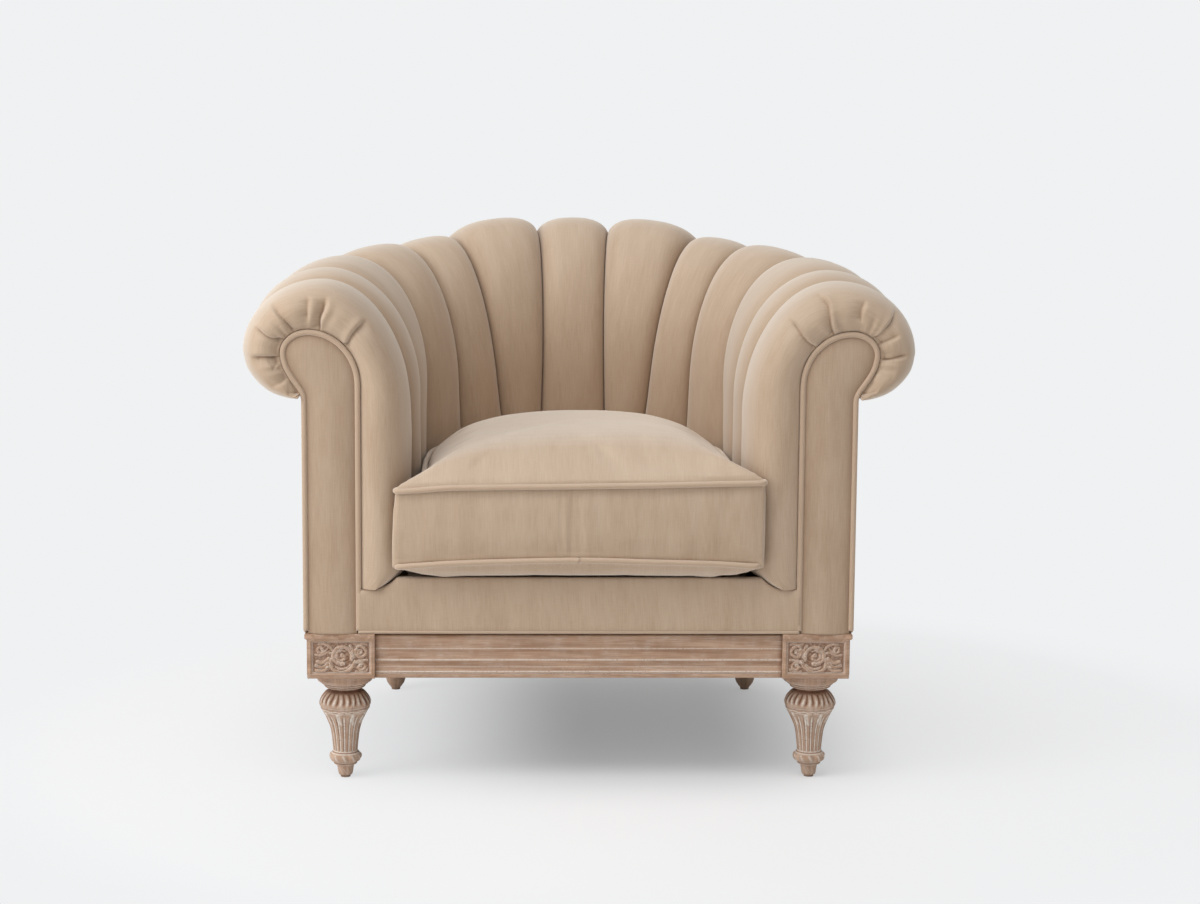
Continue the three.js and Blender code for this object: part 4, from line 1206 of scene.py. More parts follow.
    def inner_line(self, at: Section, k: Array) -> Array:
        """Inner face of the padding, clear of the piping.

        Args:
            at: The slice.
            k: Places on the outline.

        Returns:
            Points (n, 2) in (out, height).
        """
        points, normals = self.core(at).follow(k)
        end, end_normal = self.core(at).follow(np.array([16.0]))
        last = end[0] + PADDING_CLEAR * end_normal[0]
        target = np.array([self.neck_out(at, CORE_NECK), last[1]]) + PADDING_CLEAR
        return points + PADDING_CLEAR * normals + np.outer(ease(14.5, 16.0, k), target - last)

    def fullness_at(self, channel: int, k: Array) -> Array:
        """How far a channel stands out of its seams along its outline.

        Args:
            channel: Number of the channel from the right.
            k: Places on the outline.

        Returns:
            Distances.
        """
        crest = self.crest_fullness[min(channel, CHANNELS - 1 - channel)]
        shares = [1 + (crest - 1) * (1 - min(1.0, abs(i - 8) / 5)) for i in range(17)]
        shares[:3], shares[13:] = (0.6, 1.0, 1.0), self.tuck_fullness
        return self.fullness * spline(k, np.arange(17), np.array(shares))

    @staticmethod
    def lobe(t: Array) -> Array:
        """Share of a channel's fullness at a share of the way from seam to seam."""
        return (1 - np.abs(2 * np.asarray(t, dtype=float) - 1) ** 2.4) ** 0.6

    def base_reach(self, at: Section) -> float:
        """Distance from the seat valley to the outline of the wood base.

        Args:
            at: The slice.

        Returns:
            The distance.
        """
        low, high = 0.0, 0.9
        for _ in range(40):
            middle = (low + high) / 2
            x, y = at.foot + at.lean + at.outward * middle
            along = max(0.0, y - self.front - self.base_straight) / self.base_bend
            if (abs(x) / self.half_width) ** 4 + along**4 < 1:
                low = middle
            else:
                high = middle
        return low

    def stations(self, start: float, end: float, rate: int) -> list[Section]:
        """Slices from one seam number to another, at so many for each channel."""
        return [self.section(float(u)) for u in np.linspace(start, end, int(round((end - start) * rate)) + 1)]


# Upholstery


@dataclass(frozen=True)
class Pleat:
    """Fold that runs from the facing piping out over a front puff.

    Attributes:
        path: Places on the outline with the shares of the puff's depth at which the crease passes them.
        depth: Depth of the crease.
        width: Half width of the crease.
        lip: Height of the soft ridge beside it, on the side of its sign.
        hollow: Depth of the wide hollow round it.
    """

    path: tuple[tuple[float, float], ...]
    depth: float = 0.0030
    width: float = 0.0020
    lip: float = 0.0020
    hollow: float = 0.0012


@dataclass
class Assembly:
    """Sub-assembly of the chair, with its plan and finishes."""

    plan: TubPlan
    finishes: Finishes


@dataclass
class ChannelPadding(Assembly):
    """Thirteen padded channels of the arms and back, the outer two as front puffs."""

    steps_across: int = 36
    steps_up: int = 150
    seam_sinks: tuple[float, ...] = (0.009, 0.009, 0.009, 0.012, 0.010, 0.011, 0.008)
    low_sink: float = 0.0025
    unevenness: float = 0.0012
    face_share: dict[Side, float] = field(default_factory=lambda: {Side.RIGHT: 0.85, Side.LEFT: 0.5})
    pleats: dict[Side, tuple[Pleat, ...]] = field(
        default_factory=lambda: {
            Side.RIGHT: (
                Pleat(((5.5, 0.0), (5.53, 0.13), (5.67, 0.33), (5.83, 0.52), (5.9, 0.66)), 0.0032, 0.0022, 0.0026),
                Pleat(((6.8, 0.0), (6.88, 0.12), (7.12, 0.37), (7.25, 0.56), (7.15, 0.72)), 0.0036, 0.0020, 0.0030),
                Pleat(((8.6, 0.14), (8.57, 0.37), (8.7, 0.56)), 0.0026, 0.0024, 0.0022, 0.0015),
                Pleat(((10.0, 0.0), (10.1, 0.04), (10.18, 0.3), (10.2, 0.52), (10.1, 0.74)), 0.0030, 0.0018, -0.0024),
                Pleat(((10.8, 0.0), (10.84, 0.1), (10.88, 0.26), (10.9, 0.46)), 0.0030, 0.0018, 0.0016),
                Pleat(((12.2, 0.0), (12.2, 0.1), (12.15, 0.2), (11.95, 0.56)), 0.0044, 0.0020, 0.0022, 0.0018),
                Pleat(((14.7, 0.0), (14.55, 0.15), (14.2, 0.3)), 0.0018, 0.0026, 0.0007),
                Pleat(((13.3, 0.1), (13.2, 0.4)), 0.0003, 0.0040, 0.0003, 0.0008),
            ),
            Side.LEFT: (
                Pleat(((5.5, 0.0), (5.85, 0.3), (5.95, 0.6)), 0.0034, 0.0021, 0.0030, 0.0014),
                Pleat(((7.3, 0.0), (7.5, 0.21), (7.52, 0.38), (7.6, 0.56)), 0.0050, 0.0024, -0.0030, 0.0022),
                Pleat(((8.1, 0.1), (8.2, 0.3), (8.3, 0.56)), 0.0022, 0.0026, -0.0020, 0.0016),
                Pleat(((9.3, 0.0), (9.6, 0.32), (9.75, 0.66)), 0.0026, 0.0017, 0.0018),
                Pleat(((10.5, 0.0), (10.82, 0.15), (10.9, 0.6)), 0.0034, 0.0019, -0.0022),
                Pleat(((12.2, 0.0), (12.18, 0.24), (12.25, 0.56)), 0.0046, 0.0020, -0.0022, 0.0018),
                Pleat(((12.5, 0.0), (12.8, 0.12), (13.0, 0.2)), 0.0012, 0.0016, 0.0004, 0.0004),
                Pleat(((13.7, 0.0), (13.8, 0.1), (13.9, 0.51)), 0.0013, 0.0026, 0.0010, 0.0008),
                Pleat(((14.9, 0.0), (14.55, 0.32)), 0.0014, 0.0024, 0.0006, 0.0006),
            ),
        }
    )

    def outline_places(self) -> Array:
        """Places along the outline, closer where it bends."""
        knots = np.array([0.0, 3.0, 8.0, 12.0, 16.0])
        shares = np.array([0.0, 0.24, 0.60, 0.84, 1.0])
        return np.interp(np.linspace(0, 1, self.steps_up), shares, knots)

    def close_ring(self, outer: Array, at: Section) -> Array:
        """Ring of a slice: the cover line (n, 3) up and over, and the coarse inner line back."""
        inner = self.plan.inner_line(at, np.arange(17, dtype=float))[::-1]
        return np.vstack([outer, at.place(inner[:, 0], inner[:, 1])])

    def sink_at(self, u: float, k: Array) -> Array:
        """Extra depth, at places on the outline, of a seam by its number."""
        most = float(np.interp(min(u, CHANNELS - u), np.arange(len(self.seam_sinks)), self.seam_sinks))
        return (self.low_sink + (most - self.low_sink) * ease(3.5, 7.0, k)) * band(0, 2, 13, 16, k)

    def channel(self, number: int) -> Draft:
        """Mesh of one channel between two seams.

        Args:
            number: Number of the channel from the right.

        Returns:
            The mesh.
        """
        plan, k = self.plan, self.outline_places()
        full = plan.fullness_at(number, k)
        shares = 0.5 - 0.5 * np.cos(np.pi * np.linspace(0, 1, self.steps_across + 1))
        rings = []
        for t in shares:
            at = plan.section(number + 0.003 + 0.994 * float(t))
            points, normals = plan.valley(at).follow(k)
            height = plan.lobe(t)
            sink = self.sink_at(number + float(t), k) * (1 - height) ** 2
            points = points + normals * (full * height - sink)[:, None]
            fan = np.where(k < 8, at.fan(points[:, 1]), 1.0)
            fan = fan + (1.0 - fan) * ease(6.5, 8.0, k)
            rings.append(self.close_ring(at.place(points[:, 0], points[:, 1], fan), at))
        rings = np.array(rings)
        cover = rings[:, : len(k)]
        swell = unevenness(cover, 0.09, 1.7 * number) * self.unevenness
        strength = plan.lobe(shares)[:, None] * np.ones(len(k))[None, :]
        away = cover_normals(cover, rings.mean(axis=(0, 1)))
        cover += away * (swell.reshape(strength.shape) * strength)[:, :, None]
        draft = self.with_cloth(rings, shares)
        # The hollow values are painted shade along the seams, stronger on the arm channels than on the back
        seam = np.zeros(rings.shape[:2])
        wear_and_seam_shade, narrow = (0.3, 5) if 3 <= number <= 9 else (0.7, 3)
        seam[:, : len(k)] = wear_and_seam_shade * (1 - strength) ** narrow * ease(0.0, 0.6, k)[None, :]
        draft.values["hollow"] = seam.ravel()
        return draft

    @staticmethod
    def with_cloth(rings: Array, shares: Array) -> Draft:
        """Loft the rings, with the threads of the cloth along the channel.

        Args:
            rings: Points (rings, size, 3).
            shares: Share across of each ring.

        Returns:
            The mesh.
        """
        across, along = ring_measures(rings)
        place = np.append(shares, shares[-1])
        across = across - 0.5 * across[-1][None, :] * np.ones_like(place)[:, None]
        return loft(rings, across, np.repeat(along.mean(axis=0, keepdims=True), along.shape[0], axis=0))

    def puff_curve(self, q: Array) -> tuple[Array, Array]:
        """Plan of a front puff from the piping to its fullest line.

        Args:
            q: Shares along the curve.

        Returns:
            Shares across the padding, and depths behind the facing plane.
        """
        p = 1 - q
        across = 3 * p * p * q * 0.3 + 3 * p * q * q * 1.0 + q**3
        depth = p**3 * 0.002 + 3 * p * p * q * -0.022 + 3 * p * q * q * -0.022 + q**3 * self.plan.puff_apex
        return across, depth

    def tucked(self, line: Array, k: Array) -> Array:
        """Round the lower end of a puff's cover line inward under its padding.

        Args:
            line: Cover points in (out, height).
            k: Their places on the outline.

        Returns:
            The rounded line.
        """
        height = 0.030
        under = line[:, 1] < self.plan.bottom + height
        side = line[under][-1, 0]
        share = k[under] / k[under][-1]
        foot = max(0.043, side)
        angle = share * math.pi / 2
        made = line.copy()
        made[under, 0] = foot - (foot - side) * np.sin(angle) ** (4 / 3)
        made[under, 1] = self.plan.bottom + height * (1 - np.cos(angle) ** (4 / 3))
        return made

    def puff(self, side: Side, seed: float) -> Draft:
        """Mesh of one front puff, drawn on the right.

        Args:
            side: Half of the chair that it is for.
            seed: Seed of its unevenness.

        Returns:
            The mesh.
        """
        plan = self.plan
        at = plan.section(0.0)
        k = np.interp(np.linspace(0, 1, 380), [0, 0.05, 0.17, 0.24, 1.0], [0.0, 0.45, 3.0, 4.8, 16.0])
        full = plan.fullness_at(0, k) * (self.face_share[side] + (1 - self.face_share[side]) * ease(4.5, 8.0, k))
        valley, normals = plan.valley(at).follow(k)
        outer = valley + normals * full[:, None]
        inner = plan.inner_line(at, k)
        forward = np.linspace(0, 1, 70)
        across, depths = self.puff_curve(forward)
        rings = []
        core_normals = plan.core(at).follow(k)[1]
        for back, depth in ((0.0036, 0.0085), (0.0030, 0.0062), (0.0012, 0.0040)):
            line = inner - core_normals * back * ease(15.9, 15.0, k)[:, None]
            ring = at.place(line[:, 0], line[:, 1])
            ring[:, 1] = plan.front + depth
            rings.append(ring)
        for share, depth in zip(across, depths):
            line = self.tucked(inner + (outer - inner) * share, k)
            ring = at.place(line[:, 0], line[:, 1])
            ring[:, 1] = plan.front + depth
            rings.append(ring)
        falling = np.linspace(0, 1, 22)[1:] ** 0.8
        for t in falling:
            height = plan.lobe((1 + t) / 2)
            sink = self.sink_at(1.0, k) * (1 - height) ** 2
            line = self.tucked(valley + normals * (full * height - sink)[:, None], k)
            ring = at.place(line[:, 0], line[:, 1])
            ring[:, 1] = plan.front + plan.puff_apex + (plan.puff_depth - plan.puff_apex - GAP) * t
            rings.append(ring)
        cover = np.array(rings)
        reach = np.concatenate([[0.0, 0.0, 0.0], forward, np.ones(len(falling))])
        cover, creases = self.fold(cover, k, reach, self.pleats[side], seed)
        closed = []
        last = len(forward) + 2
        inner_depths = np.interp(
            np.arange(len(cover)), [0, last, len(cover) - 1], [0.014, plan.puff_apex, plan.puff_depth - GAP]
        )
        for ring, depth in zip(cover, inner_depths):
            line = self.close_ring(ring, at)
            line[len(k) :, 1] = plan.front + depth
            closed.append(line)
        draft = self.with_cloth(np.array(closed), np.linspace(0, 1, len(closed)))
        # The hollow values are painted shade: at the tuck behind the piping, along the seam at the back and in the
        # pleat creases
        seam = np.zeros((len(closed), closed[0].shape[0]))
        seam[:3, : len(k)] = 0.3
        seam[len(seam) - len(falling) :, : len(k)] = 0.75 * (1 - plan.lobe((1 + falling) / 2))[:, None] ** 2
        seam[:, : len(k)] = np.maximum(seam[:, : len(k)], creases)
        draft.values["hollow"] = seam.ravel()
        return draft

    def fold(
        self, cover: Array, k: Array, reach: Array, pleats: tuple[Pleat, ...], seed: float
    ) -> tuple[Array, Array]:
        """Press the pleats and puckers into a puff.

        Args:
            cover: Cover points (rings, places, 3).
            k: Places on the outline.
            reach: Share of the puff at each ring.
            pleats: The folds.
            seed: Seed of the unevenness.

        Returns:
            The folded cover, and how much painted shade each point gets in a crease.
        """
        away = cover_normals(cover, cover.mean(axis=(0, 1)))
        push = np.zeros(cover.shape[:2])
        creases = np.zeros(cover.shape[:2])
        q = reach[:, None] * np.ones(len(k))[None, :]
        rows = np.arange(3, 73)
        for pleat in pleats:
            places = np.array(pleat.path)
            share = np.linspace(places[0, 1], places[-1, 1] * 1.12, 60)
            at_k = spline(share, places[:, 1], places[:, 0])
            ring = np.interp(share, reach[rows], rows)
            line = []
            for row, place in zip(ring, at_k):
                low = int(row)
                high = min(low + 1, 72)
                blend = cover[low] + (cover[high] - cover[low]) * (row - low)
                line.append([np.interp(place, k, blend[:, axis]) for axis in range(3)])
            line = np.array(line)
            near = np.abs(k - at_k.mean()) < 2.5
            part = cover[:, near]
            gaps = np.linalg.norm(part[:, :, None, :] - line[None, None], axis=3)
            distance = gaps.min(axis=2)
            along = gaps.argmin(axis=2) / 59
            beside = np.sign(k[near][None, :] - at_k[gaps.argmin(axis=2)])
            begin = 1.0 if places[0, 1] < 0.02 else 0.0
            fade = (1 - ease(0.72, 1.0, along)) * (begin + (1 - begin) * ease(0.0, 0.3, along))
            width = pleat.width * (0.75 + 0.9 * along)
            lapped = beside == np.sign(pleat.lip)
            crease = np.exp(-((distance / (width * np.where(lapped, 1.0, 2.6))) ** np.where(lapped, 1.6, 1.2)))
            peak = 2.2 * width
            shoulder = np.where(distance < peak, ease(0.0, 1.0, distance / peak), bell(distance - peak, 0.008))
            hollow = np.exp(-((distance / 0.016) ** 2))
            shade = 0.12 * pleat.depth / 0.001 * fade * np.exp(-((distance / (0.7 * width)) ** 2))
            creases[:, near] = np.maximum(creases[:, near], np.minimum(shade, 0.9))
            sunk = 1.6 * pleat.depth * crease + 1.6 * pleat.hollow * hollow
            push[:, near] += fade * (0.95 * abs(pleat.lip) * shoulder * lapped - sunk)
        puckers = np.sin(k * 8.0 + 2.0 * np.sin(k * 2.3 + seed))[None, :] * 0.0009
        push += puckers * (1 - ease(0.15, 0.6, q)) * ease(0, 0.05, q) * ease(5.0, 7.5, k)[None, :]
        lumps = unevenness(cover, 0.075, seed).reshape(push.shape) * self.unevenness
        push += lumps * ease(0.1, 0.5, q)
        push *= ease(0.0, 0.03, q) * ease(0.0, 0.6, k)[None, :]
        return cover + away * push[:, :, None], creases

    def build(self) -> None:
        """Make and dress every channel."""
        for side, seed in ((Side.RIGHT, 3.0), (Side.LEFT, 8.0)):
            self.finishes.dress(self.puff(side, seed).on(side), f"channel_{side.word}_1 cover", Slot.VELVET, 0.75)
            for number in range(1, 6):
                draft = self.channel(number if side is Side.RIGHT else CHANNELS - 1 - number)
                self.finishes.dress(draft, f"channel_{side.word}_{number + 1} cover", Slot.VELVET, 0.75)
        self.finishes.dress(self.channel(6), "channel_centre cover", Slot.VELVET, 0.75)


@dataclass
class ArmFacing(Assembly):
    """Padded board on the front of an arm, and the piping round it."""

    crown: float = 0.008
    thickness: float = 0.014
    base_top: float = 0.249

    def piping_line(self) -> Array:
        """Path of the piping in (x, height) from the inner foot round to the outer foot."""
        core = self.plan.core(self.plan.section(0.0))
        points, _ = core.follow(np.linspace(0.6, 16.0, 220))
        level = self.base_top + PADDING_CLEAR
        line = np.vstack([[[core.face, level]], points, [[points[-1, 0] - GAP, level]]])
        return soften(resample(line, 0.004), 3) + np.array([self.plan.seat_half, 0.0])

    def facing(self) -> Draft:
        """Mesh of the right facing in level rows, crowned inside its piping."""
        line = self.piping_line()
        top = int(np.argmax(line[:, 1]))
        rise = np.gradient(line, axis=0)
        inward = np.stack([rise[:, 1], -rise[:, 0]], axis=1)
        inward /= np.linalg.norm(inward, axis=1, keepdims=True)
        edge = line + inward * PADDING_CLEAR * 0.5
        left, right = edge[: top + 1], edge[top:][::-1]
        high = float(edge[:, 1].max()) - 0.0002
        low = self.base_top + GAP
        levels = high - (high - low) * np.concatenate([np.linspace(0, 0.28, 46) ** 2, np.linspace(0.09, 1, 150)[1:]])
        columns = 56
        share = 0.5 - 0.5 * np.cos(np.pi * np.linspace(0, 1, columns))
        share = 0.5 * share + 0.5 * np.linspace(0, 1, columns)
        rings = []
        for z in levels[::-1]:
            start, end = np.interp(z, left[:, 1], left[:, 0]), np.interp(z, right[:, 1], right[:, 0])
            x = start + (end - start) * share
            gap = nearest(np.column_stack([x, np.full(columns, z)]), edge, FAR)
            depth = self.plan.front + 0.0008 - self.crown * (1 - np.exp(-gap / 0.018))
            back = np.array([[across, self.plan.front + self.thickness, z] for across in x[::-11]])
            rings.append(np.vstack([np.column_stack([x, depth, np.full(columns, z)]), back]))
        rings = np.array(rings)
        lumps = unevenness(rings[:, :columns], 0.08, 4.1).reshape(len(rings), columns) * 0.0009
        rings[:, :columns, 1] += lumps * np.sin(np.pi * share)[None, :]
        draft = loft(rings, *axis_measures(rings, 0, 2))
        # Painted shade: a little over the whole facing and more along the inside of its piping
        gap = nearest(rings[:, :, [0, 2]].reshape(-1, 2), edge, FAR)
        draft.values["hollow"] = 0.12 + 0.35 * np.exp(-np.maximum(gap - 0.003, 0.0) / 0.007)
        return draft

    def piping(self) -> Draft:
        """Mesh of the right piping."""
        line = self.piping_line()
        path = np.column_stack([line[:, 0], np.full(len(line), self.plan.front + 0.0012), line[:, 1]])
        return tube(path, PIPING_RADIUS, 16)

    def build(self) -> None:
        """Make and dress both facings and their piping."""
        facing, piping = self.facing(), self.piping()
        for side in Side:
            self.finishes.dress(facing.on(side), f"arm_facing_{side.word} cover", Slot.VELVET, 0.8)
            self.finishes.dress(piping.on(side), f"facing_piping_{side.word} cord", Slot.PIPING)


@dataclass
class OuterCovers(Assembly):
    """Taut covers on the outside of the arms and back, with a welt along their foot."""

    thickness: float = 0.005
    bottom: float = 0.2493
    rows: int = 60

    def cover(self, start: float, end: float) -> Draft:
        """Mesh of a cover between two stations.

        Args:
            start: First seam number.
            end: Last seam number.

        Returns:
            The mesh.
        """
        rings = []
        share = np.linspace(0, 1, self.rows)
        for at in self.plan.stations(start, end, 16):
            foot = self.plan.base_reach(at) + 0.002
            out = foot + (self.plan.neck_out(at, 0.003) - foot) * np.sin(share * np.pi / 2)
            z = self.bottom + (at.height - 0.1586 - self.bottom) * share
            rings.append(np.vstack([at.place(out, z), at.place(out[::-6] - self.thickness, z[::-6])]))
        rings = np.array(rings)
        cover = rings[:, : self.rows]
        swell = unevenness(cover, 0.16, start + 0.5).reshape(cover.shape[:2]) * 0.0012
        away = cover_normals(cover, rings[:, self.rows :].mean(axis=(0, 1)))
        rings[:, : self.rows] = cover + away * swell[:, :, None]
        return loft(rings, *ring_measures(rings))

    def welt(self, start: float, end: float) -> Draft:
        """Cord along the foot of a cover.

        Args:
            start: First seam number.
            end: Last seam number.

        Returns:
            The mesh.
        """
        path = []
        for at in self.plan.stations(start, end, 14):
            path.append(at.place(np.array([self.plan.base_reach(at) + 0.0025]), np.array([self.bottom + 0.0030]))[0])
        return tube(np.array(path), 0.0026, 10)

    def build(self) -> None:
        """Make and dress the three covers."""
        spans = {"arm_cover_right": (0.0, 2.997), "arm_cover_left": (10.003, 13.0), "back_cover": (3.003, 9.997)}
        for name, span in spans.items():
            draft = self.cover(*span).joined(self.welt(*span))
            self.finishes.dress(draft, f"outer_{name} cloth", Slot.VELVET, 0.9)


@dataclass
class FrontBorder(Assembly):
    """Padded strip across the front under the cushion, with a welt along its lower edge."""

    bottom: float = 0.2493
    bulge: float = 0.004
    raised: float = 0.0185

    def top_at(self, x: float) -> float:
        """Height of the strip between the rounded ends of the front puffs.

        Args:
            x: Place across the chair.

        Returns:
            The height.
        """
        foot = self.plan.seat_half + 0.043
        share = min(1.0, max(0.0, (foot - abs(x)) / 0.041))
        puff = self.plan.bottom + 0.030 * (1 - (1 - share**1.5) ** (2 / 3))
        return min(self.plan.bottom + self.raised, puff) - 0.0008

    def border(self) -> Draft:
        """Mesh of the strip and its welt."""
        half = self.plan.seat_half + 0.0762 - PADDING_CLEAR
        angles = np.linspace(-math.pi / 2, math.pi / 2, 44)
        round_share = np.sign(np.sin(angles)) * np.abs(np.sin(angles)) ** 0.55
        front = 0.006 - (0.006 + self.bulge) * np.abs(np.cos(angles)) ** 0.5
        rings = []
        for x in np.linspace(-half, half, 220):
            top = self.top_at(x)
            z = (self.bottom + top) / 2 + (top - self.bottom) / 2 * round_share
            face = np.column_stack([np.full(44, x), self.plan.front + front, z])
            rings.append(np.vstack([face, [[x, self.plan.front + 0.016, level] for level in (top, self.bottom)]]))
        rings = np.array(rings)
        cover = rings[:, :44]
        folds = np.sin(cover[:, :, 0] * 61 + 1.3 * np.sin(cover[:, :, 0] * 23)) * 0.0004
        swell = unevenness(cover, 0.07, 4.4).reshape(folds.shape) * 0.001
        cover[:, :, 1] -= (folds + swell) * np.abs(np.cos(angles))[None, :]
        path = np.array([[x, self.plan.front - 0.0018, self.bottom + 0.0028] for x in np.linspace(-half, half, 160)])
        return loft(rings, *ring_measures(rings)).joined(tube(path, 0.0025, 10))

    def build(self) -> None:
        """Make and dress the border."""
        self.finishes.dress(self.border(), "front_border cover", Slot.VELVET, 0.7)


@dataclass
class SeatCushion(Assembly):
    """Loose crowned cushion with ears in front of the arms, filled by a cloth simulation."""

    padding: ChannelPadding
    low_welt: float = 0.372
    top_welt: float = 0.489
    crown: float = 0.064
    ear_half: float = 0.298
    ear_front: float = -0.044
    bow: float = 0.005
    corner: float = 0.012
    voxel: float = 0.0055
    most: float = 0.0045
    hang: float = 0.008
    inset: float = 0.0085
    frames: int = 20
    filling: dict[str, float] = field(
        default_factory=lambda: {
            "quality": 4,
            "mass": 0.3,
            "tension_stiffness": 12,
            "compression_stiffness": 12,
            "shear_stiffness": 6,
            "bending_stiffness": 0.6,
            "use_pressure": True,
            "uniform_pressure_force": 4.0,
        }
    )
    under_rings: tuple[float, ...] = (
        0.03, 0.15, 0.3, 0.45, 0.58, 0.68, 0.76, 0.82, 0.87, 0.905, 0.935, 0.955, 0.97, 0.983, 0.993,
    )
    dome_rings: tuple[float, ...] = (
        0.993, 0.983, 0.97, 0.955, 0.935, 0.91, 0.88, 0.845, 0.8, 0.75, 0.69, 0.62, 0.54, 0.45, 0.35, 0.25, 0.14, 0.03,
    )

    def half_outline(self) -> Array:
        """Right half of the plan outline, from the middle of the front to the middle of the back."""
        plan = self.plan
        edge = self.ear_half - self.corner
        turn = np.linspace(0, np.pi / 2, 8)
        front = self.ear_front
        half = [np.column_stack([np.linspace(0, edge, 20), front + self.bow * (np.linspace(0, 1, 20)) ** 2])]
        corner = np.column_stack(
            [edge + self.corner * np.sin(turn), front + self.bow + self.corner * (1 - np.cos(turn))]
        )
        half.append(corner[1:])
        half.append(np.array([[self.ear_half, -0.020]]))
        at = plan.section(0.0)
        k = np.array([1.0])
        inner = plan.inner_line(at, k)[0, 0] + plan.seat_half
        full = plan.seat_half - plan.fullness
        start = (inner - self.ear_half) / (inner - full)
        q = start + (1 - start) * np.linspace(0.08, 1, 24)
        across, depth = self.padding.puff_curve(q)
        x = inner + (full - inner) * across
        slope = np.gradient(np.column_stack([x, depth]), axis=0)
        slope /= np.linalg.norm(slope, axis=1, keepdims=True)
        half.append(np.column_stack([x - 0.003 * slope[:, 1], depth + 0.003 * slope[:, 0]]))
        wall = []
        for u in np.linspace(1.0, 6.5, 60):
            section = plan.section(float(u))
            point = section.place(np.array([-0.025]), np.array([0.0]))[0]
            wall.append([max(0.0, point[0]), point[1] - plan.front])
        half.append(np.array(wall))
        return np.vstack(half)

    def outline(self) -> Array:
        """Whole plan outline, evenly spaced, in world X and Y."""
        half = self.half_outline()
        line = np.vstack([half, half[1:-1][::-1] * np.array([-1.0, 1.0])])
        line = soften(resample(line, 0.004, closed=True), 3, closed=True)
        return line + np.array([0.0, self.plan.front])

    def dome(self, points: Array, line: Array) -> Array:
        """Smooth distance from an outline, with no ridges in its middle.

        Args:
            points: Places (n, 2).
            line: Evenly spaced outline points.

        Returns:
            Distances that are true near the outline.
        """
        step = float(np.linalg.norm(line[1] - line[0]))
        total = np.zeros(len(points))
        for start in range(0, len(line), 50):
            part = line[start : start + 50]
            gaps = np.linalg.norm(points[:, None] - part[None], axis=2)
            total += np.sum(step / np.maximum(gaps, 0.0015) ** 3, axis=1)
        return math.sqrt(2) * total**-0.5

    def envelope(self, line: Array) -> Array:
        """Outline without the notches behind the ears.

        Args:
            line: Outline points.

        Returns:
            The outline's convex hull, evenly spaced.
        """
        order = line[np.lexsort((line[:, 1], line[:, 0]))]
        sides = []
        for points in (order, order[::-1]):
            chain: list[Array] = []
            for point in points:
                while len(chain) > 1:
                    (ax, ay), (bx, by) = chain[-1] - chain[-2], point - chain[-2]
                    if ax * by - ay * bx > 0:
                        break
                    chain.pop()
                chain.append(point)
            sides.append(np.array(chain[:-1]))
        return resample(np.vstack(sides), 0.004, closed=True)

    def sway(self, x: Array, y: Array, top: bool) -> Array:
        """How far a welt strays up from level on a worn cushion.

        Args:
            x: Places across the chair.
            y: Places from front to back.
            top: Whether it is the top welt.

        Returns:
            Heights over the level welt.
        """
        share = x / 0.29
        if top:
            rise = 0.0060 + 0.0050 * share - 0.0050 * ease(0.19, 0.29, -x)
        else:
            rise = 0.0035 - 0.0120 * np.abs(share) ** 2.2 + 0.0025 * ease(0.1, 0.29, x)
        return rise * (1 - 0.7 * ease(self.plan.front + 0.02, self.plan.front + 0.25, y))

    def lean(self, points: Array) -> Array:
        """Let the lower left front corner hang outward.

        Args:
            points: Points of the cushion or a welt.

        Returns:
            The moved points.
        """
        front = self.plan.front
        low = 1 - ease(self.low_welt, self.top_welt, points[..., 2])
        ear = ease(0.20, self.ear_half, -points[..., 0]) * (1 - ease(front - 0.032, front - 0.018, points[..., 1]))
        moved = points.copy()
        moved[..., 0] -= self.hang * low * ear
        return moved

    def welt_heights(self, x: Array, y: Array) -> tuple[Array, Array]:
        """Heights of the lower and the upper welt over places in plan."""
        return self.low_welt + self.sway(x, y, False), self.top_welt + self.sway(x, y, True)

    def body(self) -> Draft:
        """Mesh of the cushion before it is filled, with tucks for its welts."""
        front = self.plan.front
        line = self.outline()
        normals = outward_normals(line)
        centre = (line.min(axis=0) + line.max(axis=0)) / 2
        low_line, top_line = self.welt_heights(line[:, 0], line[:, 1])
        rings = []
        hull = self.envelope(line)
        most = float(self.dome(centre[None], hull)[0])

        def inner(share: float) -> tuple[Array, Array]:
            """Plan of a ring inside a welt, by its size about the middle, and its distance from the outline."""
            plan = centre + (line - normals * self.inset - centre) * share
            return plan, nearest(plan, line, FAR)

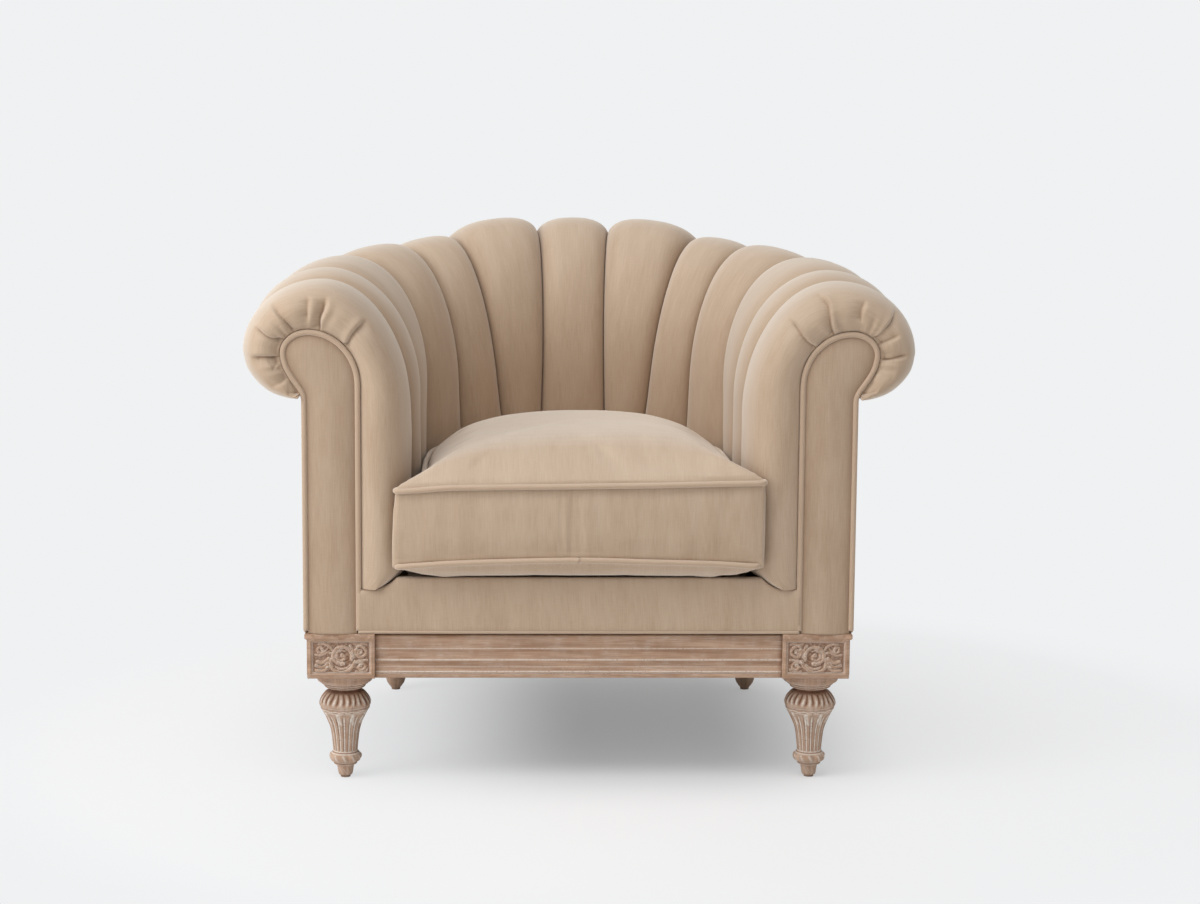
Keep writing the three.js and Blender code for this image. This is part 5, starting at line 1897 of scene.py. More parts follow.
        under = self.plan.bottom + 0.0006
        for share in self.under_rings:
            plan, near = inner(share)
            rest = under + 0.0206 * (1 - ease(front + 0.019, front + 0.06, plan[:, 1]))
            slack = np.clip(1 - (near - self.inset) / 0.031, 0, 1) ** 2.2
            rings.append(np.column_stack([plan, rest + (low_line - 0.004 - rest) * slack]))
        slim = 1 - 0.7 * ease(0.5, 0.95, np.abs(normals[:, 0])) * (line[:, 1] < front - 0.018)
        belly = [(0.0055 - 0.0015 * math.sin(math.pi * share), share, 0.0) for share in (0.2, 0.35, 0.5, 0.65, 0.8)]
        lower = [(0.0065, 0.0, -0.003), (0.0088, 0.0, 0.0), (0.0055, 0.0, 0.008)]
        upper = [(0.0055, 1.0, -0.008), (0.0088, 1.0, 0.0), (0.0088, 1.0, 0.003)]
        for inset, share, shift in lower + belly + upper:
            plan = line - normals * (inset * slim)[:, None]
            rings.append(np.column_stack([plan, low_line + (top_line - low_line) * share + shift]))
        for share in self.dome_rings:
            plan, near = inner(share)
            fill = 1 - (1 - np.clip(self.dome(plan, hull) / most, 0, 1)) ** 2.1
            level = top_line + (self.top_welt + 0.004 - top_line) * (1 - share)
            rise = np.maximum(self.crown * fill, 1e-6)
            side = 0.11 * (1 - np.exp(-np.maximum(near - 0.006, 0.0) / 0.035)) + 1e-6
            rings.append(np.column_stack([plan, level + 0.003 + (rise**-4 + side**-4) ** -0.25]))
        stack = self.lean(np.array(rings))
        return loft(stack, *ring_measures(stack)[::-1])

    def filled(self) -> bpy.types.Object:
        """Remesh the body and swell it under pressure, with a limit on how far each point moves."""
        made = self.body().build("seat_cushion_cover", self.finishes.slots[Slot.VELVET])
        scene = bpy.context.scene
        bpy.context.view_layer.objects.active = made
        remesh = made.modifiers.new("Even", "REMESH")
        remesh.mode = "VOXEL"
        remesh.voxel_size = self.voxel
        remesh.use_smooth_shade = True
        self.keep_result(made)
        start = self.read(made)
        cloth = made.modifiers.new("Filling", "CLOTH")
        for key, value in self.filling.items():
            setattr(cloth.settings, key, value)
        cloth.settings.effector_weights.gravity = 0
        cloth.collision_settings.use_collision = False
        cloth.point_cache.frame_start = scene.frame_start = 1
        cloth.point_cache.frame_end = scene.frame_end = self.frames
        for number in range(1, self.frames + 1):
            scene.frame_set(number)
        swollen = self.read(made.evaluated_get(bpy.context.evaluated_depsgraph_get()))
        made.modifiers.remove(cloth)
        scene.frame_set(1)
        move = swollen - start
        length = np.linalg.norm(move, axis=1, keepdims=True)
        move *= np.minimum(1.0, self.most / np.maximum(length, 1e-9))
        start = start + move * self.free_share(start)[:, None]
        start = self.finish_surface(start)
        made.data.vertices.foreach_set("co", start.astype(np.float32).ravel())
        divide = made.modifiers.new("Smooth", "SUBSURF")
        divide.levels = divide.render_levels = 1
        self.keep_result(made)
        self.lay_cloth(made)
        return made

    @staticmethod
    def keep_result(made: bpy.types.Object) -> None:
        """Turn an object's modifiers into its mesh.

        Args:
            made: The object.
        """
        graph = bpy.context.evaluated_depsgraph_get()
        mesh = bpy.data.meshes.new_from_object(made.evaluated_get(graph))
        old = made.data
        made.modifiers.clear()
        made.data = mesh
        if not mesh.materials:
            mesh.materials.append(old.materials[0])
        bpy.data.meshes.remove(old)
        made.data.polygons.foreach_set("use_smooth", [True] * len(made.data.polygons))

    @staticmethod
    def read(made: bpy.types.Object) -> Array:
        """Points of an object's mesh.

        Args:
            made: The object.

        Returns:
            Points (n, 3).
        """
        numbers = np.empty(len(made.data.vertices) * 3)
        made.data.vertices.foreach_get("co", numbers)
        return numbers.reshape(-1, 3)

    def free_share(self, points: Array) -> Array:
        """How freely each point swells: not at the welts, and little underneath.

        Args:
            points: Mesh points.

        Returns:
            Shares from 0 to 1.
        """
        z = points[:, 2]
        low, top = self.welt_heights(points[:, 0], points[:, 1])
        near_top, near_low = (np.exp(-(((z - welt) / 0.011) ** 4)) for welt in (top, low))
        rim = 1 - ease(0.004, 0.014, nearest(points[:, :2], resample(self.outline(), 0.01, closed=True), FAR))
        boxing = 0.7 * rim * ease(low, low + 0.02, z) * (1 - ease(top - 0.02, top, z))
        held = np.maximum(rim * np.maximum(near_top, near_low), boxing)
        return (1 - held) * ease(self.plan.bottom - 0.001, self.plan.bottom + 0.02, z)

    def finish_surface(self, points: Array) -> Array:
        """Add soft dents, faint upright folds in the boxing and clear space round the cushion.

        Args:
            points: Mesh points.

        Returns:
            The moved points.
        """
        (x, y, z), front = points.T, self.plan.front
        moved = points.copy()
        height = band(self.low_welt, self.low_welt + 0.02, self.top_welt - 0.02, self.top_welt, z)
        folds = np.sin(x * 95 + 1.9 * np.sin(x * 31)) * 0.0005
        for place, depth in ((-0.031, 0.0016), (-0.014, 0.0022), (-0.002, 0.0014)):
            folds -= depth * bell(x - place, 0.0038)
        moved[:, 1] -= folds * height * (1 - ease(front - 0.02, front + 0.01, y))
        dents = unevenness(points, 0.11, 2.2) * 0.0022 + unevenness(points, 0.035, 6.1) * 0.0004
        moved[:, 2] += dents * ease(self.top_welt + 0.012, self.top_welt + 0.05, z)
        ahead = 1 - ease(front + 0.019, front + 0.03, y)
        floor = self.plan.bottom + 0.0003 + 0.0186 * ahead * (y > front - 0.006)
        moved[:, 2] = np.maximum(moved[:, 2], floor)
        return moved

    def lay_cloth(self, made: bpy.types.Object) -> None:
        """Give the mesh cloth directions from its own faces.

        Args:
            made: The object.
        """
        mesh = made.data
        layer = mesh.uv_layers.new(name="Cloth")
        count = len(mesh.loops)
        owners = np.empty(count, dtype=np.int32)
        mesh.loops.foreach_get("vertex_index", owners)
        points = self.read(made)[owners]
        normals = np.empty(len(mesh.polygons) * 3)
        mesh.polygons.foreach_get("normal", normals)
        sizes = np.empty(len(mesh.polygons), dtype=np.int32)
        mesh.polygons.foreach_get("loop_total", sizes)
        spread = np.repeat(normals.reshape(-1, 3), sizes, axis=0)
        sideways = np.abs(spread[:, 0]) > 0.75
        across = np.where(sideways, points[:, 1], points[:, 0])
        up = np.where(np.abs(spread[:, 2]) > 0.6, points[:, 1], points[:, 2])
        layer.data.foreach_set("uv", np.column_stack([across, up]).astype(np.float32).ravel())

    def welt(self, z: float, seed: float) -> Draft:
        """Cord round the cushion at a height.

        Args:
            z: Height of the welt.
            seed: Seed of its unevenness.

        Returns:
            The mesh.
        """
        line = self.outline()
        normals = outward_normals(line)
        line = line - normals * PIPING_RADIUS
        path = np.column_stack([line, z + self.sway(line[:, 0], line[:, 1], z > 0.43)])
        path[:, 2] += unevenness(path, 0.12, seed) * 0.0010
        path = self.lean(path)
        if z < self.top_welt:
            ear = ease(0.2, self.ear_half, np.abs(path[:, 0])) * (path[:, 1] < self.plan.front - 0.016)
            path[:, 0] -= 0.009 * np.sign(path[:, 0]) * ear
        return tube(path, PIPING_RADIUS, 14, closed=True)

    def build(self) -> None:
        """Make and dress the cushion and its two welts."""
        self.finishes.settle(self.filled(), "seat_cushion", Slot.VELVET, 0.7, "cushion")
        for word, z, seed in (("top", self.top_welt, 1.1), ("bottom", self.low_welt, 2.6)):
            self.finishes.dress(self.welt(z, seed), f"cushion_piping_{word} cord", Slot.PIPING, body="cushion")


@dataclass
class SeatDeck(Assembly):
    """Platform under the cushion and the dust cloth under the seat."""

    thickness: float = 0.0156

    def deck(self) -> Draft:
        """Mesh of the platform pad, sewn flat at its edge."""
        half = []
        for u in np.linspace(0, 6.5, 90):
            point = self.plan.section(float(u)).place(np.array([0.060]), np.array([0.0]))[0]
            half.append([max(point[0], 0.0), max(point[1], self.plan.front + 0.018)])
        half = np.array(half)
        line = np.vstack([half, half[:-1][::-1] * np.array([-1.0, 1.0])])
        line = resample(line, 0.008, closed=True)
        centre = (line.min(axis=0) + line.max(axis=0)) / 2
        top = self.plan.bottom - GAP
        edge = ((0.05, 0.0), (0.99, 0.0), (1.0, 0.003), (1.0, 0.009), (0.985, 0.0125), (0.96, 0.0118))
        levels = [(share, top - self.thickness + z) for share, z in edge]
        for share in (0.94, 0.9, 0.85, 0.8, 0.7, 0.6, 0.45, 0.3, 0.15, 0.04):
            levels.append((share, top - 0.0022 * (share / 0.94) ** 6 - 0.0002))
        rings = [np.column_stack([centre + (line - centre) * share, np.full(len(line), z)]) for share, z in levels]
        return loft(np.array(rings), *axis_measures(np.array(rings), 0, 1))

    def dust_cloth(self) -> tuple[Draft, tuple[float, float], float]:
        """Mesh of the dust cloth, its cut size and its area."""
        low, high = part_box("bottom_cloth")
        columns, rows = 90, 70
        step = self.plan.front + BLOCK_DEPTH + 0.004
        narrow = self.plan.half_width - BLOCK_WIDTH - 0.004
        xs = np.linspace(-1, 1, columns)
        ys = np.linspace(low[1], high[1], rows)
        grid = np.zeros((rows, columns, 3))
        for j, y in enumerate(ys):
            wide = narrow + (high[0] - narrow) * float(ease(step, step + 0.002, y))
            sag = 0.002 * math.sin(math.pi * j / (rows - 1)) * np.cos(xs * math.pi / 2)
            ripple = 0.0003 * np.sin(xs * 60 + y * 9)
            grid[j] = np.column_stack([xs * wide, np.full(columns, y), low[2] + 0.0008 - 0.4 * sag + ripple * 0.6])
        upper = grid + np.array([0.0, 0.0, 0.0006])
        both = np.concatenate([grid, upper[:, ::-1]], axis=1)
        widths = grid[:, -1, 0] - grid[:, 0, 0]
        area = float(np.sum((widths[1:] + widths[:-1]) / 2) * (ys[1] - ys[0]))
        return loft(both, *axis_measures(both, 0, 1)), (float(high[0] - low[0]), float(high[1] - low[1])), area

    def build(self) -> None:
        """Make and dress the platform and the dust cloth."""
        self.finishes.dress(self.deck(), "deck_pad cover", Slot.DECK, 0.8)
        draft, size, area = self.dust_cloth()
        cloth = self.finishes.dress(draft, "bottom_cloth sheet", Slot.DUST)


# Show wood


@dataclass
class Carving:
    """Scroll and leaf strokes of a carved panel, in millimetres from its middle."""

    strokes: list[tuple[Array, float, float]] = field(default_factory=list)

    def stroke(self, points: list[tuple[float, float]], width: float, height: float) -> None:
        """Add a stroke through points.

        Args:
            points: Points of its path.
            width: Half width.
            height: Height over the ground.
        """
        path = np.array(points, dtype=float)
        at = np.arange(len(path))
        dense = np.linspace(0, len(path) - 1, 14 * (len(path) - 1))
        line = np.column_stack([spline(dense, at, path[:, 0]), spline(dense, at, path[:, 1])])
        self.strokes.append((line, width * 1.3, height * 1.15))

    def volute(
        self,
        centre: tuple[float, float],
        outer: float,
        inner: float,
        start: float,
        turn: float,
        width: float,
        height: float,
    ) -> None:
        """Add a spiral stroke that ends in an eye.

        Args:
            centre: Middle of the spiral.
            outer: Radius at its start.
            inner: Radius at its end.
            start: Angle at its start in degrees.
            turn: Angle that it turns through in degrees.
            width: Half width.
            height: Height over the ground.
        """
        share = np.linspace(0, 1, 60)
        angle = np.radians(start + turn * share)
        radius = outer + (inner - outer) * share
        line = np.column_stack([centre[0] + radius * np.cos(angle), centre[1] + radius * np.sin(angle)])
        self.strokes.append((line, width * 1.25, height * 1.15))
        self.strokes.append((line[-1:], width * 1.8, height * 1.25))

    def stipple(self, half_width: float, half_height: float) -> None:
        """Fill the ground with small curled leaf cuts.

        Args:
            half_width: Half width of the panel.
            half_height: Half height of the panel.
        """
        rows = int(half_height / 3.1)
        columns = int(half_width / 3.4)
        for row in range(-rows, rows + 1):
            for column in range(-columns, columns + 1):
                turn = 2.4 * column + 3.9 * row + 1.3 * math.sin(column * row + 0.7)
                angle = turn + np.linspace(-0.9, 0.9, 7)
                x = 3.3 * column + 0.9 * math.sin(turn * 1.7) + 2.0 * np.cos(angle)
                z = 3.0 * row + 0.9 * math.cos(turn * 2.3) + 1.7 * np.sin(angle)
                self.strokes.append((np.column_stack([x, z]), 0.9, 1.1))

    def relief(self, x: Array, z: Array) -> tuple[Array, Array]:
        """Height and edge measure of the carving.

        Args:
            x: Places across the panel.
            z: Places up the panel.

        Returns:
            Heights in millimetres, and a mask that is 1 along the upper edges of strokes.
        """
        flat = np.column_stack([x.ravel(), z.ravel()])
        total, edge = np.zeros(len(flat)), np.zeros(len(flat))
        for line, width, height in self.strokes:
            best = nearest(flat, line, 99.0)
            total = np.maximum(total, height * np.sqrt(np.clip(1 - (best / width) ** 2, 0, 1)))
            edge = np.maximum(edge, bell(best - width * 0.8, 0.5) * min(1.0, max(0.0, width - 1.1)))
        return total.reshape(x.shape), edge.reshape(x.shape)


    @classmethod
    def of_blocks(cls) -> "Carving":
        """Traditional scrolls and leaves of the corner blocks."""
        art = cls()
        for volute in BLOCK_VOLUTES:
            art.volute(*volute)
        for path, width, height in BLOCK_STROKES:
            art.stroke(path, width, height)
        art.stipple(44.0, 23.5)
        return art


BLOCK_VOLUTES = (
    ((-1.0, 2.0), 16.5, 12.5, 200, -300, 2.4, 3.0),
    ((-1.0, 1.0), 10.5, 2.5, 80, -330, 2.0, 2.6),
    ((-31.0, 9.0), 9.5, 7.5, 60, 330, 1.9, 2.7),
    ((-31.0, 9.0), 4.5, 1.5, -60, 300, 1.5, 2.2),
    ((-32.0, -15.5), 7.5, 3.0, 60, 380, 1.9, 2.5),
    ((33.0, 13.0), 6.5, 2.5, -150, 330, 1.6, 2.2),
)
BLOCK_STROKES = (
    (((-23, -6), (-19, -14), (-12, -21), (-3, -24.5), (7, -23.5), (14, -18), (17, -10), (16, -3)), 2.3, 3.0),
    (((-16, -12), (-9, -17), (0, -19), (8, -16)), 1.5, 2.2),
    (((-21, 1), (-18, 6), (-19, 12), (-15, 19)), 1.9, 2.6),
    (((20, -2), (26, -7), (31, -9), (38, -7)), 2.4, 3.0),
    (((20, -8), (25, -14), (32, -16), (40, -13)), 2.2, 2.8),
    (((20, -14), (25, -20), (32, -22), (40, -21)), 2.0, 2.6),
    (((17, 7), (23, 8), (28, 5), (34, 3), (41, 4)), 1.6, 2.3),
    (((15, 13), (20, 19), (27, 22), (35, 22)), 1.7, 2.4),
    (((-41, 21), (-35, 22.5), (-27, 21), (-21, 22)), 1.6, 2.2),
    (((-42, -4), (-36, -5), (-29, -5), (-24, -9)), 1.6, 2.3),
    (((-41, -20), (-40, -23), (-33, -24.5), (-24, -23)), 1.5, 2.1),
    (((-6, 10), (0, 12), (5, 9), (6, 3)), 1.3, 2.0),
    (((22, 14), (25, 11), (30, 10)), 1.2, 1.9),
    (((-18, -0.5), (-17.4, -0.5)), 2.6, 3.0),
)


@dataclass
class CornerBlock(Assembly):
    """Square block over a front leg, with a carved panel on its two outer faces."""

    width: float = BLOCK_WIDTH
    depth: float = BLOCK_DEPTH
    bottom: float = 0.175
    top: float = 0.249
    lip: float = 0.004
    lip_height: float = 0.010
    panel_width: float = 0.096
    panel_height: float = 0.054
    recess: float = 0.0034
    fine: float = 0.0008

    def relief(self, s: Array, z: Array, half: float) -> tuple[Array, Array, Array]:
        """Height of a carved face over its plane.

        Args:
            s: Places across the face from its middle.
            z: Heights.
            half: Half width of the face.

        Returns:
            Heights, the lime mask and the mask of painted shade in the hollows.
        """
        middle = (self.bottom + self.top - 0.5 * self.lip_height) / 2
        panel_half = self.panel_width / 2 - (self.width / 2 - half)
        inside = np.minimum(panel_half - np.abs(s), self.panel_height / 2 - np.abs(z - middle))
        height, edge = Carving.of_blocks().relief(s * 1000, (z - middle) * 1000)
        inner = ease(0.001, 0.004, inside)
        carved = -self.recess * ease(0.0, 0.0022, inside) + 0.0009 * bell(inside + 0.0014, 0.0011)
        carved = carved + height / 1000 * inner
        places = np.column_stack([s.ravel(), z.ravel(), z.ravel() * 0])
        grain = unevenness(places, 0.0032, 5.0).reshape(s.shape)
        rough = unevenness(places, 0.0016, 9.0).reshape(s.shape)
        carved += (0.0004 * grain + 0.0004 * rough) * inner
        lip = self.lip * ease(self.top - self.lip_height - 0.001, self.top - self.lip_height + 0.0025, z)
        lip -= 0.0012 * ease(self.top - 0.002, self.top, z)
        groove = band(0.0004, 0.0016, 0.0018, 0.004, inside)
        ground = inner * (1 - np.clip(height / 1.2, 0, 1))
        lime = np.clip(0.6 * edge * inner * (grain > -0.3) + 0.6 * groove + 0.22 * inner * (rough > 0.25), 0, 1)
        # The third mask is painted shade on the low ground between the strokes
        return carved + lip, lime, np.clip(ground * 0.3 + 0.25 * inner * (height < 1.6), 0, 1)

    def block(self) -> Draft:
        """Mesh of the right block."""
        inner_x, front_y, bevel = self.plan.half_width - self.width, self.plan.front, 0.0014
        outer_x = inner_x + self.width
        across = np.linspace(0, self.width, int(self.width / self.fine))
        back = np.linspace(0, self.depth, int(self.depth / self.fine))[1:]
        zs = np.concatenate([[self.bottom], np.linspace(self.bottom + 0.0008, self.top, int(0.0732 / self.fine))])
        s_front, z_front = np.meshgrid(across - self.width / 2, zs)
        s_side, z_side = np.meshgrid(back - self.depth / 2, zs)
        high_f, lime_f, hollow_f = self.relief(s_front, z_front, self.width / 2)
        high_s, lime_s, hollow_s = self.relief(s_side, z_side, self.depth / 2)
        edge_f = 0.0012 * (1 - ease(0, bevel, across))[None, :] + 0.0012 * ease(self.width - bevel, self.width, across)
        edge_s = 0.0012 * ease(self.depth - bevel, self.depth, back)[None, :]
        chamfer = 0.001 * (1 - ease(self.bottom, self.bottom + 0.0012, zs))[:, None]
        high_f = high_f - chamfer - edge_f
        high_s = high_s - chamfer - edge_s
        front = np.stack([inner_x + across + 0 * high_f, front_y - high_f, z_front], axis=2)
        side = np.stack([outer_x + high_s, front_y + back + 0 * high_s, z_side], axis=2)
        lip_line = high_s[:, 0]
        front[:, -1, 0] += np.maximum(lip_line, -0.001)
        corner_shift = ease(self.width - 0.004, self.width, across)
        front[:, :, 0] += corner_shift[None, :] * np.maximum(lip_line, 0)[:, None] * 0.98
        front[:, -1, 0] -= np.maximum(lip_line, 0)
        side[:, :, 1] -= (1 - ease(0.0, 0.004, back))[None, :] * np.maximum(high_f[:, -3], 0)[:, None]
        rear = np.array([[outer_x - 0.002, front_y + self.depth], [inner_x, front_y + self.depth]])
        rear = np.array([np.column_stack([rear, [z, z]]) for z in zs])
        rings = np.concatenate([front, side, rear], axis=1)
        draft = loft(rings, *ring_measures(rings))
        zeros = np.zeros((len(zs), 2))
        draft.values["lime"] = np.concatenate([lime_f, lime_s, zeros], axis=1).ravel()
        draft.values["hollow"] = np.concatenate([hollow_f, hollow_s, zeros], axis=1).ravel()
        return draft

    def build(self) -> None:
        """Make and dress both blocks."""
        block = self.block()
        for side in Side:
            self.finishes.dress(block.on(side), f"front_corner_block_{side.word} carved", Slot.OAK)


@dataclass
class BaseRails(Assembly):
    """Fluted rails of the base."""

    bottom: float = 0.175
    face_top: float = 0.245
    top: float = 0.249
    thickness: float = 0.018
    setback: float = 0.006
    flute: float = 0.0045

    def face(self) -> tuple[Array, Array, Array]:
        """Depths behind the face, heights, and lime in the flutes with a painted highlight along the lower edge of
        each.
        """
        shares = np.linspace(0, 1, 90)
        depth, lime = np.zeros_like(shares), np.zeros_like(shares)
        for low, high, most in ((0.10, 0.115, 0.6), (0.125, 0.385, 1.0), (0.405, 0.665, 1.0), (0.685, 0.80, 0.25)):
            inside = (shares > low) & (shares < high)
            local = (shares[inside] - low) / (high - low)
            depth[inside] = self.flute * most * np.sin(np.pi * local) ** 0.55
            # Painted highlight: a light line along the lower edge of each flute
            lime[inside] = bell(local - 0.06, 0.07) * 0.8
        edge = 0.0012 * (np.exp(-shares / 0.02) + np.exp(-(1 - shares) / 0.02))
        lime += 0.5 * bell(shares - 0.25, 0.012)
        return depth + edge, self.bottom + (self.face_top - self.bottom) * shares, np.clip(lime, 0, 1)

    def section_rows(self) -> tuple[Array, Array, Array]:
        """Closed profile: depths in from the face, heights, and lime with its painted highlights."""
        depth, heights, lime = self.face()
        depth = np.concatenate([depth, [0.007, 0.007, self.thickness, self.thickness]])
        heights = np.concatenate([heights, [self.face_top + 0.0002, self.top, self.top, self.bottom]])
        return depth, heights, np.concatenate([lime, np.zeros(4)])

    def front_rail(self) -> Draft:
        """Mesh of the front rail."""
        half = self.plan.half_width - BLOCK_WIDTH - GAP
        depth, heights, lime = self.section_rows()
        rings = []
        for x in np.linspace(-half, half, 80):
            wander = noise.noise(Vector((x * 9, 0.0, 3.0))) * 0.0003
            deep = self.plan.front + self.setback + depth + wander
            rings.append(np.column_stack([np.full(len(depth), x), deep, heights]))
        return self.rail(rings, lime)

    @staticmethod
    def rail(rings: list[Array], lime: Array) -> Draft:
        """Mesh of a rail through its sections, with the same lime and painted highlights in each."""
        draft = loft(np.array(rings), *ring_measures(np.array(rings))[::-1])
        draft.values["lime"] = np.tile(lime, len(rings))
        return draft

    def curved_rail(self, start: float, end: float, first: float | None = None) -> Draft:
        """Mesh of a rail along the base outline.

        Args:
            start: First seam number.
            end: Last seam number.
            first: Depth behind the facing plane at which it starts, if that is square.

        Returns:
            The mesh.
        """
        depth, heights, lime = self.section_rows()
        rings = []
        for at in self.plan.stations(start, end, 14):
            rings.append(at.place(self.plan.base_reach(at) - self.setback - depth, heights))
        if first is not None:
            rings[0][:, 1] = self.plan.front + first
        return self.rail(rings, lime)

    def build(self) -> None:
        """Make and dress the four rails."""
        side = self.curved_rail(1.0, 2.999, BLOCK_DEPTH + GAP)
        pieces = {
            "front_base_rail": self.front_rail(),
            "side_base_rail_right": side,
            "side_base_rail_left": side.on(Side.LEFT),
            "back_base_rail": self.curved_rail(3.001, 9.999),
        }
        for node, draft in pieces.items():
            self.finishes.dress(draft, f"{node} fluted", Slot.OAK)


@dataclass
class Leg:
    """Leg that is turned about its own middle.

    Attributes:
        side: Half of the chair that it stands on.
        place_x: Distance from the middle of the chair.
        place_y: Depth of its place.
    """

    finishes: Finishes
    side: Side
    place_x: float
    place_y: float

    def stand(self, draft: Draft, name: str) -> None:
        """Set the leg down on its place and dress it, with its name and the ending of that."""
        draft.points += np.array([self.place_x * self.side.value, self.place_y, 0.0])
        self.finishes.dress(draft, name, Slot.OAK)


@dataclass
class FrontLeg(Leg):
    """Turned front leg with a leaf bulb, fluted shank and ringed ankle, drawn in millimetres."""

    sides: int = 216
    leaves: int = 8
    flutes: int = 18
    lime_rings: tuple[tuple[float, float], ...] = (
        (44.6, 1.1), (41.0, 0.9), (26.0, 1.0), (21.2, 1.0), (119.6, 0.9),
        (111.6, 0.7), (154.9, 0.8), (160.0, 0.7), (151.2, 0.7),
    )
    # Heights, in millimetres, of thin rings of painted shade
    dark_rings: tuple[float, ...] = (158.4, 153.6, 149.6, 118.9, 43.2, 24.6)

    def profile(self) -> Array:
        """Radius and height pairs from the bottom to the top."""
        pairs = np.array(FRONT_LEG_KNOTS) / 1000
        along = np.concatenate([[0], np.cumsum(np.linalg.norm(np.diff(pairs, axis=0), axis=1))])
        dense = np.linspace(0, along[-1], 330)
        return soften(np.column_stack([np.interp(dense, along, pairs[:, axis]) for axis in (0, 1)]), 1)

    def bumps(self, profile: Array) -> tuple[Array, Array, Array]:
        """Carving of the bulb, shank and ankle.

        Args:
            profile: Radius and height pairs.

        Returns:
            Radius added at each (height, side), the lime mask and the mask of painted shade in the hollows.
        """
        z = profile[:, 1][:, None] * 1000
        angle = np.linspace(0, 2 * np.pi, self.sides, endpoint=False)[None, :]
        flute = np.abs(np.cos(angle * self.flutes / 2))
        on_shank = band(44.5, 47.0, 99.0, 111.0, z)
        depth = 1.9 + 0.5 * ease(60, 100, z)
        shape = -depth * (1 - flute) ** 1.3 * on_shank
        fork = np.abs(np.cos(angle * self.flutes / 4 + 0.5 * np.sin((z - 90) * 0.1)))
        darts = band(86, 96, 110, 114, z) * (1 - fork) ** 2
        shape = shape + 1.4 * darts
        share = np.clip((z - 119.5) / (147.0 - 119.5), 0, 1)
        on_bulb = band(120.0, 123.0, 142.5, 146.0, z)
        leaf_angle = (angle * self.leaves / (2 * np.pi)) % 1.0 - 0.5
        half = 0.5 * np.sqrt(np.clip(1 - (1 - share) ** 3.0, 0.02, 1))
        edge = np.clip(1 - np.abs(leaf_angle) / half, 0, 1)
        ribs = np.abs(np.sin(angle * 12 + 0.35 * np.sin(z * 0.21 + 2 * np.sin(angle * 3))))
        leaf = 1.1 * edge**0.5 - 0.6 * bell(leaf_angle, 0.05) - 1.7 * (1 - ribs) ** 1.6 * ease(122, 129, z)
        shape = shape + leaf * on_bulb
        wave = np.sin(angle * 15 + np.sin(angle * 4)) * 0.8
        ripple = bell(z - 115.0 - wave, 0.9) * band(110.5, 112.5, 118.5, 120.0, z)
        shape = shape + 0.7 * ripple
        on_ankle = band(26, 29, 38, 41, z)
        twist = np.sin(angle * 11 + (z - 34) * 0.22)
        shape = shape + 0.8 * twist * on_ankle
        on_toe = band(5, 8, 18, 20.5, z)
        shape = shape - 0.35 * np.abs(np.sin(angle * 6)) * on_toe
        wear_and_seam_shade = 0.5 + 0.5 * np.sin(angle * 5 + z * 0.21) * np.sin(angle * 3 - z * 0.13)
        ones = np.ones_like(angle)
        limes = [
            np.clip((0.5 - flute) / 0.2, 0, 1) * on_shank,
            0.9 * np.clip(darts * 1.4, 0, 1),
            np.clip((ribs - 0.8) / 0.15, 0, 1) * on_bulb * (0.25 + 0.5 * band(124, 130, 134, 139, z)),
            0.9 * ripple,
            0.8 * np.clip(twist - 0.3, 0, 1) * on_ankle,
            0.7 * np.clip(1 - 4 * np.abs(np.sin(angle * 6 + z * 0.3)), 0, 1) * on_toe,
            0.04 + 0.2 * wear_and_seam_shade,
            *(0.8 * bell(z - height, width) * ones for height, width in self.lime_rings),
        ]
        # Painted shade between the leaf ribs, on the flute walls, under the bulb and in thin rings
        hollows = [
            on_bulb * ease(123, 131, z) * np.clip(1.2 - 1.5 * ribs, 0, 1),
            0.75 * on_shank * bell(flute - 0.62, 0.13),
            0.8 * band(140, 146, 148, 150, z) * ones,
            *(0.7 * bell(z - height, 0.6) * ones for height in self.dark_rings),
        ]
        lime, hollow = (np.clip(np.maximum.reduce(parts), 0, 1) for parts in (limes, hollows))
        return shape / 1000, lime, hollow

    def build(self) -> None:
        """Make and dress the leg."""
        profile = self.profile()
        bumps, lime, hollow = self.bumps(profile)
        draft = lathe(profile, self.sides, bumps)
        draft.values.update(lime=lime.ravel(), hollow=hollow.ravel())
        self.stand(draft, f"front_leg_{self.side.word} turned")


FRONT_LEG_KNOTS = (
    (9.6, 3.3), (11.0, 4.4), (12.0, 8), (12.8, 13), (13.5, 18), (13.9, 20.6), (17.6, 21.6), (19.2, 23.2),
    (18.9, 25.0), (18.3, 25.8), (22.2, 27.0), (24.8, 30.0), (26.0, 34.0), (25.6, 37.6), (23.8, 40.2),
    (21.2, 41.0), (21.6, 42.2), (21.0, 43.4), (19.6, 44.2), (20.0, 48), (20.6, 54), (21.3, 62), (22.3, 70),
    (23.4, 77.5), (25.0, 84), (28.0, 93.5), (30.6, 99), (34.0, 106), (36.4, 110.5), (38.2, 114.2),
    (39.4, 116.2), (40.3, 118.0), (39.9, 119.4), (41.2, 121.2), (41.8, 124.0), (41.5, 127), (40.4, 130.5),
    (38.6, 134), (36.2, 137.4), (33.4, 140.8), (30.2, 143.8), (26.4, 146.0), (24.0, 147.2), (24.8, 148.6),
    (28.8, 150.2), (32.6, 151.4), (33.6, 152.8), (33.2, 154.2), (32.6, 154.9), (35.6, 155.9), (38.2, 157.6),
    (39.0, 159.2), (38.8, 160.0), (43.2, 161.2), (44.8, 163.4), (45.0, 165.5), (44.6, 168), (45.0, 174.7),
)
BACK_LEG_KNOTS = (
    (8.4, 3.3), (9.5, 4.6), (11.6, 7.0), (15.6, 13.0), (18.0, 20.0), (20.4, 40), (23.6, 75), (26.0, 110), (27.0, 174.7),
)


